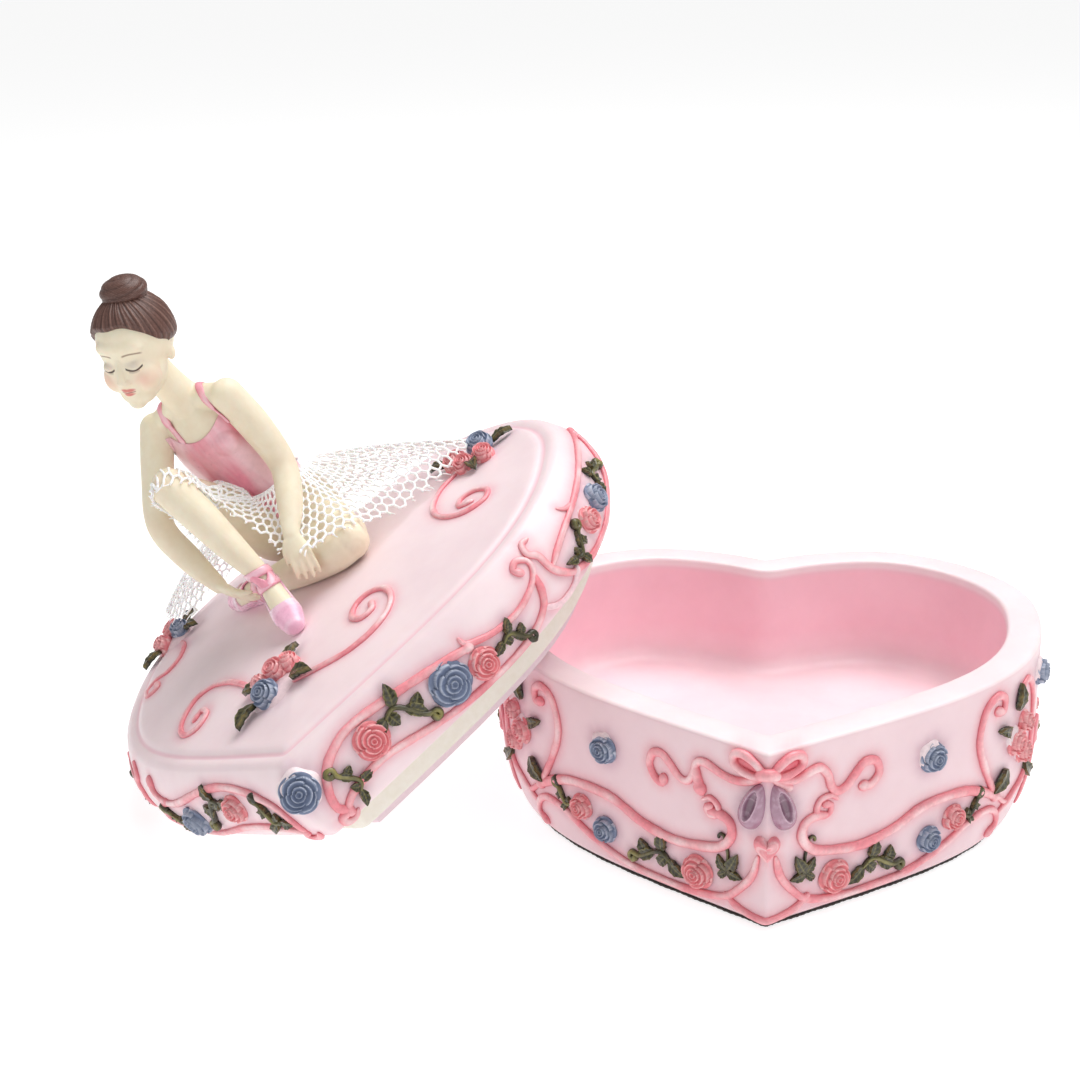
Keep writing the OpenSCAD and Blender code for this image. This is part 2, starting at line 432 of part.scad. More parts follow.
module intermediate_wheel() move_place() color("#c9b37a") {
    xcyl(0.6, 27.8, 35.6, lay_y);
    onx(30.9, lay_y) rotate([0, 0, 18]) spur(10, 2, 0.3, 0.6, 0.42, 1);
    onx(34.4, lay_y) spur(20, 4, 0.1, 0.6, 0.3, 0.6);
}
worm_p = 8 * PI / 20;
module governor_worm() move_place() color("silver") translate([worm_x, worm_y, 0]) {
    translate([0, 0, 0.7]) cylinder(r = 0.5, h = 18.2);
    translate([0, 0, shaft_z - 2 * worm_p]) linear_extrude(4 * worm_p, twist = -1440, slices = 64, $fn = 12) translate([0, 0.3]) circle(r = 0.8, $fn = 12);
}
module air_brake() move_place() color("#8d949c") translate([worm_x, worm_y, 0]) difference() {
    union() { translate([-3.8, -0.2, 16]) cube([7.6, 0.4, 3]); translate([0, 0, 15.7]) cylinder(r = 1.1, h = 3); }
    translate([0, 0, 10]) cylinder(r = 0.5, h = 8.9);
}

base_casting();
felt_pad();
base_scrollwork();
base_roses();
base_leaves();
base_bow();
base_slippers_emblem();
lid_casting();
lid_locating_ring();
lid_cover_board();
board_screws();
lid_scrollwork();
lid_roses();
lid_leaves();
figure_skin();
figure_hair();
figure_leotard();
figure_slippers();
net_skirt();
movement_bedplate();
comb();
comb_screws();
spring_housing();
spring_cover();
mainspring();
governor_frame();
movement_screws();
winding_arbor();
winding_key();
crown_wheel();
pinned_cylinder();
cylinder_gear();
intermediate_wheel();
governor_worm();
air_brake();
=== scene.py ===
import bpy, bmesh, math
import numpy as np
from mathutils import Vector, Matrix
from mathutils.bvhtree import BVHTree
from mathutils.kdtree import KDTree


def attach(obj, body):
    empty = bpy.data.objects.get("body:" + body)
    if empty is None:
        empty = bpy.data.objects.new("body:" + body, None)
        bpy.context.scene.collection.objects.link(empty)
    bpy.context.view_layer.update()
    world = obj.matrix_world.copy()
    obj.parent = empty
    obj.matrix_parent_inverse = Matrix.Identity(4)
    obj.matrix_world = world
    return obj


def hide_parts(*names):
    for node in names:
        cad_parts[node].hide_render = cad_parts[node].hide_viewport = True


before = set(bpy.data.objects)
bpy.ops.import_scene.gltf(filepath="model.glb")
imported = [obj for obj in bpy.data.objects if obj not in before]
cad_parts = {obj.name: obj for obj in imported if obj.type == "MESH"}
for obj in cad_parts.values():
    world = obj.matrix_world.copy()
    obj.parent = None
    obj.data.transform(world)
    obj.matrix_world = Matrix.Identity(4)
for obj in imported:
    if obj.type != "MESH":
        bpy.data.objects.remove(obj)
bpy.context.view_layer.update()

rng = np.random.default_rng(7)
MM = 0.001
scene = bpy.context.scene

# ------------------------------------------------------------------ camera, lights, floor
Q = np.array([[0.9942, 0.1047, -0.0244], [-0.0135, 0.3467, 0.9379], [-0.1067, 0.9321, -0.3461]])
Q[2] = np.cross(Q[1], Q[0]) * -1 if np.dot(np.cross(Q[0], Q[1]), Q[2]) > 0 else Q[2]
CAM = np.array([-6.7, -483.9, 251.0]) * MM
cam_data = bpy.data.cameras.new("camera")
cam = bpy.data.objects.new("camera", cam_data)
scene.collection.objects.link(cam)
scene.camera = cam
cam_data.sensor_width = 36.0
cam_data.lens = 63.07
cam_data.clip_start, cam_data.clip_end = 0.01, 20
r_, u_, f_ = Vector((0.9942, 0.1047, -0.0244)).normalized(), None, Vector((-0.1067, 0.9321, -0.3461)).normalized()
u_ = r_.cross(f_).normalized()
r_ = f_.cross(u_).normalized()
m = Matrix(((r_.x, u_.x, -f_.x, CAM[0]), (r_.y, u_.y, -f_.y, CAM[1]), (r_.z, u_.z, -f_.z, CAM[2]), (0, 0, 0, 1)))
cam.matrix_world = m

def area_light(name, loc, target, size, power, col=(1, 1, 1)):
    d = bpy.data.lights.new(name, "AREA"); d.shape = "RECTANGLE"; d.size = size[0]; d.size_y = size[1]; d.energy = power; d.color = col
    o = bpy.data.objects.new(name, d); scene.collection.objects.link(o)
    o.location = loc; o.rotation_mode = "QUATERNION"
    o.rotation_quaternion = (Vector(target) - Vector(loc)).to_track_quat("-Z", "Y")
    return o
area_light("top", (0.12, 0.22, 0.95), (-0.03, 0.02, 0.04), (0.9, 0.7), 9.6, (1, 0.99, 0.985))
area_light("key", (0.62, -0.62, 0.50), (0.02, 0, 0.04), (0.5, 0.5), 1.6, (1, 0.985, 0.98))
area_light("fill", (-0.7, -0.5, 0.5), (-0.08, 0, 0.06), (0.5, 0.6), 0.7, (1, 0.99, 0.99))
world = bpy.data.worlds.new("world"); scene.world = world; world.use_nodes = True
bg = world.node_tree.nodes["Background"]; bg.inputs[0].default_value = (1, 1, 1, 1); bg.inputs[1].default_value = 0.34
try:
    scene.view_settings.view_transform = "Standard"
except Exception:
    pass

# ------------------------------------------------------------------ helpers
def vary(c, k):
    return (c[0] * k, c[1] * k, c[2] * k)

def lin(rgb):
    return tuple(((v / 255) / 12.92 if v / 255 <= 0.04045 else ((v / 255 + 0.055) / 1.055) ** 2.4) for v in rgb)

def make_mesh(name, verts, faces, mats, body, col=None, smooth=True, midx=None, extra=None):
    me = bpy.data.meshes.new(name)
    me.from_pydata([tuple(v) for v in np.asarray(verts, float) * MM], [], [tuple(int(i) for i in f) for f in faces])
    me.validate(clean_customdata=False)
    if col is not None and len(col) == len(me.vertices):
        a = me.color_attributes.new("Col", "FLOAT_COLOR", "POINT")
        c4 = np.ones((len(me.vertices), 4), np.float32); c4[:, :3] = np.asarray(col)[:, :3]
        a.data.foreach_set("color", c4.ravel())
    if extra is not None:
        for k, v in extra.items():
            a = me.attributes.new(k, "FLOAT", "POINT"); a.data.foreach_set("value", np.asarray(v, np.float32))
    for mt in (mats if isinstance(mats, (list, tuple)) else [mats]):
        me.materials.append(mt)
    if midx is not None and len(midx) == len(me.polygons):
        me.polygons.foreach_set("material_index", np.asarray(midx, np.int32))
    me.polygons.foreach_set("use_smooth", [smooth] * len(me.polygons))
    me.update()
    o = bpy.data.objects.new(name, me); scene.collection.objects.link(o)
    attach(o, body)
    return o

class Bag:
    """Collects small pieces into one mesh."""
    def __init__(self): self.v, self.f, self.c, self.n = [], [], [], 0
    def add(self, v, f, c):
        v = np.asarray(v, float); c = np.asarray(c, float)
        if c.ndim == 1: c = np.repeat(c[None], len(v), 0)
        self.v.append(v); self.c.append(c[:, :3]); self.f += [tuple(int(i) + self.n for i in q) for q in f]; self.n += len(v)
    def make(self, name, mats, body, slot): return make_mesh(name, np.vstack(self.v), self.f, mats, body, np.vstack(self.c))

def noise1(x, seed=0):
    x = np.asarray(x, float)
    return 0.5 + 0.5 * (np.sin(x * 1.0 + seed) * 0.5 + np.sin(x * 2.3 + 1.7 * seed + 1) * 0.3 + np.sin(x * 5.1 + 2.9 * seed) * 0.2)

_nd = np.random.default_rng(3).normal(0, 1, (9, 3)); _nd /= np.linalg.norm(_nd, axis=1)[:, None]; _np = np.random.default_rng(4).uniform(0, 6.28, 9)
def noise3(P, f, stretch=(1, 1, 1)):
    """Smooth uneven field over points in millimetres, f cycles a millimetre or so, 0 to 1."""
    q = np.asarray(P, float) * np.asarray(stretch, float) * f; s = sum(np.sin(q @ d * (2.2 + 0.9 * i) + ph + 1.3 * np.sin(q @ _nd[(i + 3) % 9] * 1.7 + ph)) / (1 + 0.25 * i) for i, (d, ph) in enumerate(zip(_nd, _np)))
    return np.clip(0.5 + s * 0.22, 0, 1)

# ------------------------------------------------------------------ materials
def nodes_of(name):
    m = bpy.data.materials.new(name); m.use_nodes = True
    nt = m.node_tree
    return m, nt, nt.nodes["Principled BSDF"]

def setp(p, **kw):
    names = {"rough": "Roughness", "metal": "Metallic", "spec": "Specular IOR Level", "coat": "Coat Weight", "coat_rough": "Coat Roughness", "sheen": "Sheen Weight", "sheen_rough": "Sheen Roughness", "sss": "Subsurface Weight", "sss_scale": "Subsurface Scale", "aniso": "Anisotropic", "ior": "IOR"}
    for k, v in kw.items():
        if names[k] in p.inputs: p.inputs[names[k]].default_value = v

def node(nt, typ, **kw):
    n = nt.nodes.new(typ)
    for k, v in kw.items():
        if k in n.inputs: n.inputs[k].default_value = v
        else: setattr(n, k, v)
    return n

def coords(nt, scale=1000.0):
    """Object coordinates in millimetres."""
    t = nt.nodes.new("ShaderNodeTexCoord"); mp = nt.nodes.new("ShaderNodeMapping")
    mp.inputs["Scale"].default_value = (scale, scale, scale)
    nt.links.new(t.outputs["Object"], mp.inputs["Vector"])
    return mp.outputs["Vector"]

def noise(nt, vec, scale, detail=4, rough=0.55, dist=0.0):
    n = nt.nodes.new("ShaderNodeTexNoise"); n.inputs["Scale"].default_value = scale; n.inputs["Detail"].default_value = detail; n.inputs["Roughness"].default_value = rough
    if "Distortion" in n.inputs: n.inputs["Distortion"].default_value = dist
    nt.links.new(vec, n.inputs["Vector"])
    return n.outputs["Fac"]

def ramp(nt, fac, a, b, ca=(0, 0, 0, 1), cb=(1, 1, 1, 1)):
    r = nt.nodes.new("ShaderNodeValToRGB"); r.color_ramp.elements[0].position = a; r.color_ramp.elements[1].position = b
    r.color_ramp.elements[0].color = ca; r.color_ramp.elements[1].color = cb
    nt.links.new(fac, r.inputs["Fac"]); return r.outputs["Color"]

def mixc(nt, fac, a, b, blend="MIX"):
    mx = nt.nodes.new("ShaderNodeMix"); mx.data_type = "RGBA"; mx.blend_type = blend
    def put(sock, v):
        if isinstance(v, (tuple, list)): sock.default_value = (*v[:3], 1)
        elif isinstance(v, float): sock.default_value = v
        else: nt.links.new(v, sock)
    put(mx.inputs["Factor"], fac); put(mx.inputs["A"], a); put(mx.inputs["B"], b)
    return mx.outputs["Result"]

def maprange(nt, v, a, b, c, d):
    n = nt.nodes.new("ShaderNodeMapRange"); n.inputs["From Min"].default_value = a; n.inputs["From Max"].default_value = b; n.inputs["To Min"].default_value = c; n.inputs["To Max"].default_value = d
    nt.links.new(v, n.inputs["Value"]); return n.outputs["Result"]

def bump(nt, p, h, strength, dist):
    b = nt.nodes.new("ShaderNodeBump"); b.inputs["Strength"].default_value = strength; b.inputs["Distance"].default_value = dist
    nt.links.new(h, b.inputs["Height"]); nt.links.new(b.outputs["Normal"], p.inputs["Normal"]); return b

def attr(nt, name="Col"):
    a = nt.nodes.new("ShaderNodeAttribute"); a.attribute_name = name; a.attribute_type = "GEOMETRY"; return a

def painted(name, mottle=0.12, mscale=0.35, rough=(0.3, 0.45), bumps=((1.4, 0.25, 0.12),), coat=0.0, tint=(1, 1, 1), **kw):
    """A painted surface whose colour is painted on the mesh and broken up by noise, with its own gloss and fine relief."""
    m, nt, p = nodes_of(name)
    v = coords(nt)
    a = attr(nt)
    n = noise(nt, v, mscale, 5, 0.6)
    dark = mixc(nt, 1.0, a.outputs["Color"], tuple(max(0, t * (1 - mottle)) for t in tint), "MULTIPLY")
    c = mixc(nt, ramp(nt, n, 0.35, 0.7), a.outputs["Color"], dark)
    nt.links.new(c, p.inputs["Base Color"])
    r = maprange(nt, noise(nt, v, 0.8, 3), 0.3, 0.7, rough[0], rough[1]); nt.links.new(r, p.inputs["Roughness"])
    h = None
    for sc, st, ds in bumps:
        nn = noise(nt, v, sc, 4, 0.6)
        if h is None: h = nn; S, D = st, ds
        else:
            ad = nt.nodes.new("ShaderNodeMath"); ad.operation = "ADD"; nt.links.new(h, ad.inputs[0]); nt.links.new(nn, ad.inputs[1]); h = ad.outputs[0]
    if h is not None: bump(nt, p, h, S, D * MM)
    setp(p, coat=coat, **kw)
    return m

RESIN = painted("pink_resin", mottle=0.05, mscale=0.06, rough=(0.34, 0.46), bumps=((0.5, 0.22, 0.10), (2.5, 0.2, 0.05)), tint=(1.0, 0.97, 0.98), spec=0.45, sss=0.06, sss_scale=0.002, coat=0.12, coat_rough=0.3)
CORAL = painted("coral_scroll_paint", mottle=0.16, mscale=0.9, rough=(0.28, 0.42), bumps=((1.6, 0.35, 0.12),), spec=0.5, coat=0.2, coat_rough=0.25)
ROSE = painted("rose_paint", mottle=0.14, mscale=1.1, rough=(0.32, 0.48), bumps=((2.2, 0.35, 0.10),), spec=0.45, coat=0.15, coat_rough=0.3)
LEAF = painted("leaf_paint", mottle=0.3, mscale=1.3, rough=(0.25, 0.42), bumps=((2.4, 0.45, 0.12),), spec=0.5, coat=0.25, coat_rough=0.22)
MAUVE = painted("mauve_paint", mottle=0.15, mscale=0.7, rough=(0.16, 0.28), bumps=((1.2, 0.2, 0.08),), spec=0.55, coat=0.6, coat_rough=0.12)

# ------------------------------------------------------------------ the heart and its walls (millimetres)
A, BW, LX, LY, YC, W = 79.9, 13.2, 31.3, 58.7, 49.6, 75.0
TH, PH = math.radians(34.2), math.radians(30.4)
HB, WALL, FLOOR_Z, FELT = 47.7, 9.1, 15.0, 1.2
HL, CROWN = 21.7, 5.0
def bez(a, b, c, d, n):
    t = np.linspace(0, 1, n)[:, None]; a, b, c, d = map(np.asarray, (a, b, c, d))
    return (1 - t) ** 3 * a + 3 * (1 - t) ** 2 * t * b + 3 * (1 - t) * t * t * c + t ** 3 * d
P0, P3, P6, P9 = np.array([0, -A]), np.array([W, BW]), np.array([LX, LY]), np.array([0, YC])
HALF = np.vstack([bez(P0, P0 + 58.9 * np.array([math.cos(TH), math.sin(TH)]), P3 - [0, 46], P3, 200),
                  bez(P3, P3 + [0, 27.3], P6 + [18.4, 0], P6, 120)[1:],
                  bez(P6, P6 - [11, 0], P9 + 9 * np.array([math.cos(PH), math.sin(PH)]), P9, 80)[1:]])
CUM = np.r_[0, np.cumsum(np.linalg.norm(np.diff(HALF, axis=0), axis=1))]
LEN = CUM[-1]
def hp(s):
    s = np.asarray(s, float); s = (s + LEN) % (2 * LEN) - LEN
    a = np.abs(s)
    return np.stack([np.sign(s) * np.interp(a, CUM, HALF[:, 0]), np.interp(a, CUM, HALF[:, 1])], -1)
def smooth_outline(s, r):
    """The outline with its point and cleft rounded over about r millimetres."""
    k = np.linspace(-1, 1, 9); w = (1 - k * k); w /= w.sum()
    return sum(wi * hp(np.asarray(s) + r * ki) for wi, ki in zip(w, k))
def hn(s, r=0.8):
    d = smooth_outline(np.asarray(s, float) + 0.6, r) - smooth_outline(np.asarray(s, float) - 0.6, r)
    n = np.stack([d[..., 1], -d[..., 0]], -1); return n / np.linalg.norm(n, axis=-1, keepdims=True)
def taper(z): return 1 - 0.09 * np.clip((22 - np.asarray(z, float)) / 22, 0, 1) ** 2.4
def bs(s, z, o=0.0):
    """Point on the base's wall, s along the outline from the point of the heart, z up, o proud of it."""
    s, z, o = np.broadcast_arrays(np.asarray(s, float), np.asarray(z, float), np.asarray(o, float))
    p = smooth_outline(s, 1.2); k = taper(z)[..., None]; c = np.array([0, -A])
    q = c + (p - c) * k + hn(s) * o[..., None]
    return np.concatenate([q, z[..., None]], -1)
def bsn(s, z):
    e = 0.5; du = bs(s + e, z) - bs(s - e, z); dv = bs(s, np.asarray(z) + e) - bs(s, np.asarray(z) - e)
    n = np.cross(du, dv); return n / np.linalg.norm(n, axis=-1, keepdims=True)
LKZ = np.array([-1, 0, 2, 6, 10, 15, 19, 21.7]); LKK = np.array([1.0, 1.010, 1.025, 1.042, 1.042, 1.028, 1.0, 0.972])
LZf = np.linspace(-1, 21.7, 228); LKf = np.interp(LZf, LKZ, LKK); LKf = np.convolve(np.pad(LKf, 12, mode="reflect", reflect_type="odd"), np.ones(25) / 25, mode="valid")
def lidk(z): return np.interp(z, LZf, LKf)
def ls(s, z, o=0.0):
    s, z, o = np.broadcast_arrays(np.asarray(s, float), np.asarray(z, float), np.asarray(o, float))
    p = smooth_outline(s, 2.6) * lidk(z)[..., None] + hn(s, 2.0) * o[..., None]
    return np.concatenate([p, z[..., None]], -1)
def lsn(s, z):
    e = 0.5; du = ls(s + e, z) - ls(s - e, z); dv = ls(s, np.asarray(z) + e) - ls(s, np.asarray(z) - e)
    n = np.cross(du, dv); return n / np.linalg.norm(n, axis=-1, keepdims=True)
_ang = np.linspace(-LEN, LEN, 1441)[:-1]; _o = smooth_outline(_ang, 2.6) * 0.972
_aa = np.arctan2(_o[:, 1], _o[:, 0]); _rr = np.hypot(_o[:, 0], _o[:, 1]); _i = np.argsort(_aa); _aa, _rr = _aa[_i], _rr[_i]
def topz(x, y):
    r = np.hypot(x, y); R = np.interp(np.arctan2(y, x), _aa, _rr, period=2 * np.pi)
    return HL + CROWN * (1 - np.clip(r / R, 0, 1) ** 2)
def lt(x, y, o=0.0): x, y = np.asarray(x, float), np.asarray(y, float); return np.stack([x, y, topz(x, y) + o], -1)
def ltn(x, y):
    e = 0.5; n = np.stack([-(topz(x + e, y) - topz(x - e, y)), -(topz(x, y + e) - topz(x, y - e)), np.full(np.shape(x), 2 * e)], -1)
    return n / np.linalg.norm(n, axis=-1, keepdims=True)

def Rz(t): t = math.radians(t); c, s = math.cos(t), math.sin(t); return np.array([[c, -s, 0], [s, c, 0], [0, 0, 1]])
def Ry(t): t = math.radians(t); c, s = math.cos(t), math.sin(t); return np.array([[c, 0, s], [0, 1, 0], [-s, 0, c]])
LR = Rz(16.6) @ Ry(-33.4) @ Rz(-16.6); LT = np.array([-106.0, -13.1, 42.3])
def L2R(p): return np.asarray(p, float) @ LR.T + LT
ident = lambda p: p

def inset(t, n=None):
    """Inward parallel of the heart, n points evenly along it from the point of the heart."""
    d = np.gradient(HALF, axis=0); d /= np.linalg.norm(d, axis=1)[:, None]
    q = HALF + t * np.stack([-d[:, 1], d[:, 0]], -1)
    q = q[q[:, 0] > 0.15]
    ph_end = math.atan2(q[-1][0], (YC - q[-1][1]))
    arc = [[t * math.sin(a), YC - t * math.cos(a)] for a in np.linspace(ph_end, 0, 8)[1:]]
    h = np.vstack([[[0, -A + t / math.cos(TH)]], q, arc])
    full = np.vstack([h, h[-2:0:-1] * [-1, 1], h[:1]])
    c = np.r_[0, np.cumsum(np.linalg.norm(np.diff(full, axis=0), axis=1))]
    u = np.linspace(0, c[-1], n + 1)[:-1]
    return np.stack([np.interp(u, c, full[:, 0]), np.interp(u, c, full[:, 1])], -1)

def round_loop(p, k):
    for _ in range(k): p = 0.5 * p + 0.25 * (np.roll(p, 1, 0) + np.roll(p, -1, 0))
    return p

def grid_faces(nrow, ncol, closed=True, flip=False):
    f = []
    for r in range(nrow - 1):
        for c in range(ncol if closed else ncol - 1):
            d = (c + 1) % ncol
            q = (r * ncol + c, r * ncol + d, (r + 1) * ncol + d, (r + 1) * ncol + c)
            f.append(q[::-1] if flip else q)
    return f

# ------------------------------------------------------------------ ornament tools
# PEARL_AND_HIGHLIGHT_C is the pearl dry-brush and painted highlight on bead crests; CORAL_D is the darker coral, also
# used as painted shade under the beads
CORAL_C, PEARL_AND_HIGHLIGHT_C, CORAL_D = np.array(lin((245, 146, 156))), np.array(lin((255, 232, 233))), np.array(lin((226, 104, 118)))
PINK_C, PINK_HI, PINK_IN, PINK_FLOOR = np.array(lin((241, 214, 219))), np.array(lin((252, 238, 240))), np.array(lin((253, 206, 217))), np.array(lin((252, 226, 231)))
BLUE_C, BLUE_HI, BLUE_D = np.array(lin((142, 154, 180))), np.array(lin((216, 222, 234))), np.array(lin((92, 104, 134)))
ROSEC, ROSE_HI, ROSE_D = np.array(lin((250, 162, 166))), np.array(lin((255, 222, 220))), np.array(lin((226, 108, 118)))
LEAF_C, LEAF_HI, LEAF_D = np.array(lin((50, 48, 24))), np.array(lin((158, 150, 84))), np.array(lin((24, 23, 13)))
MAUVE_C, MAUVE_HI, MAUVE_D = np.array(lin((168, 126, 148))), np.array(lin((214, 180, 198))), np.array(lin((112, 74, 96)))

def catmull(p, step=0.5):
    p = np.asarray(p, float); q = np.vstack([2 * p[0] - p[1], p, 2 * p[-1] - p[-2]]); out = []
    for i in range(1, len(q) - 2):
        n = max(2, int(np.linalg.norm(q[i + 1] - q[i]) / step))
        t = np.linspace(0, 1, n, endpoint=False)[:, None]
        a, b, c, d = q[i - 1], q[i], q[i + 1], q[i + 2]
        out.append(0.5 * (2 * b + (c - a) * t + (2 * a - 5 * b + 4 * c - d) * t * t + (3 * b - a - 3 * c + d) * t ** 3))
    return np.vstack(out + [p[-1:]])

def bead(bag, P, N, r, c0=CORAL_C, c1=PEARL_AND_HIGHLIGHT_C, cd=CORAL_D, flat=0.75, sides=12, taper0=0.5, taper1=1.0, seed=0, ball=True, hi=0.75):
    """Raised scroll line: a rounded bead along the points P with outward normals N, r its half width (number or array)."""
    P = np.asarray(P, float); n = len(P)
    r = np.broadcast_to(np.asarray(r, float), (n,)).copy()
    L = np.r_[0, np.cumsum(np.linalg.norm(np.diff(P, axis=0), axis=1))]; T = L[-1]
    fade = lambda x, t: t + (1 - t) * np.clip(x, 0, 1) ** 0.5
    r *= fade(L / 4.0, taper0) * fade((T - L) / 4.0, taper1) * (1 + 0.10 * (noise1(L * 0.35, seed) - 0.5) * 2)
    if ball: r[-1 * max(2, int(1.6 * n / max(T, 1e-6))):] *= 1.25
    d = np.gradient(P, axis=0); d /= np.linalg.norm(d, axis=1)[:, None] + 1e-9
    B = np.cross(d, N); B /= np.linalg.norm(B, axis=1)[:, None] + 1e-9
    V = np.cross(B, d)
    a = np.linspace(0, 2 * np.pi, sides, endpoint=False)
    ends = [(0, 0.35), (0, 0.8)]; 
    ring = lambda c, rr, i: c + rr * (np.cos(a)[:, None] * V[i] * flat + np.sin(a)[:, None] * B[i])
    rows = [ring(P[0] - d[0] * r[0] * 0.8, r[0] * 0.3, 0), ring(P[0] - d[0] * r[0] * 0.45, r[0] * 0.8, 0)] + [ring(P[i], r[i], i) for i in range(n)] + \
           [ring(P[-1] + d[-1] * r[-1] * 0.5, r[-1] * 0.8, -1), ring(P[-1] + d[-1] * r[-1] * 0.9, r[-1] * 0.3, -1)]
    Lr = np.r_[0, 0, L, T, T]
    v = np.vstack(rows); m = len(rows)
    f = grid_faces(m, sides, True)
    f.append(tuple(range(sides - 1, -1, -1))); f.append(tuple((m - 1) * sides + k for k in range(sides)))
    # the crest is lightened towards c1, pearl dry-brush that also stands as a painted highlight, and the side against
    # the wall is darkened towards cd as painted shade
    crest = np.tile(np.clip(np.cos(a - 0.3), 0, 1) ** 2, m); low = np.tile(np.clip(-np.cos(a) * 1.2 + 0.3, 0, 1), m)
    nz = np.repeat(noise1(Lr * 0.16, seed + 3) * 0.75 + noise1(Lr * 0.5, seed + 5) * 0.25, sides)
    hi_ = np.clip(crest * (nz * 2.0 - 0.5), 0, 1)[:, None] * hi
    col = c0 * (1 - low[:, None]) + cd * low[:, None]
    col = col * (1 - hi_) + c1 * hi_
    bag.add(v, f, col)

def frame_at(p, n, rot=0.0, up=(0, 0, 1)):
    n = np.asarray(n, float) / np.linalg.norm(n); u = np.asarray(up, float); x = np.cross(u, n)
    if np.linalg.norm(x) < 1e-3: x = np.array([1.0, 0, 0])
    x /= np.linalg.norm(x); y = np.cross(n, x); c, s = math.cos(rot), math.sin(rot)
    return np.asarray(p, float), c * x + s * y, -s * x + c * y, n

def rose(bag, F, R, H, c0, c1, cd, seed=0, turns=2.7, lobes=5):
    """An open rose: a spiral bud with overlapping petals and a lobed rim, raised H above its ground."""
    p, x, y, n = F; g = np.random.default_rng(abs(int(seed)) + 1); nr, nt = 44, 110
    rr = np.linspace(0, 1, nr) ** 0.85; tt = np.linspace(0, 2 * np.pi, nt, endpoint=False)
    ph = g.uniform(0, 6.28); r, t = np.meshgrid(rr, tt, indexing="ij")
    h = np.zeros_like(r); lip = np.zeros_like(r); done = np.zeros_like(r, bool)
    rings = ((0.17, 1, 1.00, 0.10), (0.36, 2, 0.98, 0.14), (0.60, 3, 0.90, 0.13), (0.82, 4, 0.74, 0.11), (1.02, 5, 0.52, 0.08))
    inner = np.zeros_like(t)
    for j, (Rj, nj, hj, dj) in enumerate(rings):
        a = ((t - ph * (1 + j) - j * 0.9) * nj / (2 * np.pi)) % 1.0
        bd = Rj * (1 + dj * (np.sin(np.pi * a) ** 0.6 - 0.5) - 0.16 * (a - 0.5))
        x_ = np.clip((r - inner) / np.maximum(bd - inner, 0.02), 0, 1)
        sel = (~done) & (r <= bd) if j < 4 else ~done
        hh = hj - 0.30 + 0.30 * x_ ** 1.5 - 0.16 * (x_ > 0.93) * (x_ - 0.93) / 0.07
        h[sel] = hh[sel]; lip[sel] = (np.clip(x_ - 0.62, 0, 1) / 0.38)[sel]; done |= sel; inner = bd
    lob = 1 + 0.07 * (np.sin(np.pi * (((t - ph * 5 - 3.6) * 5 / (2 * np.pi)) % 1.0)) ** 0.6 - 0.4) * r ** 3
    z = h * H - 0.40 * H * r ** 8
    ridge = lip
    R2 = R * lob
    v = p + (r * R2 * np.cos(t))[..., None] * x + (r * R2 * np.sin(t))[..., None] * y + z[..., None] * n
    skirt = p + (rr[-1] * R2[-1] * 0.86 * np.cos(tt))[:, None] * x + (rr[-1] * R2[-1] * 0.86 * np.sin(tt))[:, None] * y - 1.6 * n
    # petal rims are lightened towards c1 as a painted highlight, the inner part of each petal is darkened towards cd as
    # painted shade, and the skirt running down into the wall is painted cd as painted shade under the rose
    hi = ridge ** 2.2 * (0.30 + 0.60 * noise1(t * 2 + r * 9, seed)); lo = np.clip(0.45 - ridge, 0, 1) * 1.5
    lo = np.clip(lo, 0, 0.6)
    col = c0 * (1 - lo[..., None]) + cd * lo[..., None]; col = col * (1 - hi[..., None] * 0.85) + c1 * hi[..., None] * 0.85
    V = np.vstack([v.reshape(-1, 3), skirt]); C = np.vstack([col.reshape(-1, 3), np.repeat(cd[None], nt, 0)])
    bag.add(V, grid_faces(nr + 1, nt, True, flip=False), C)

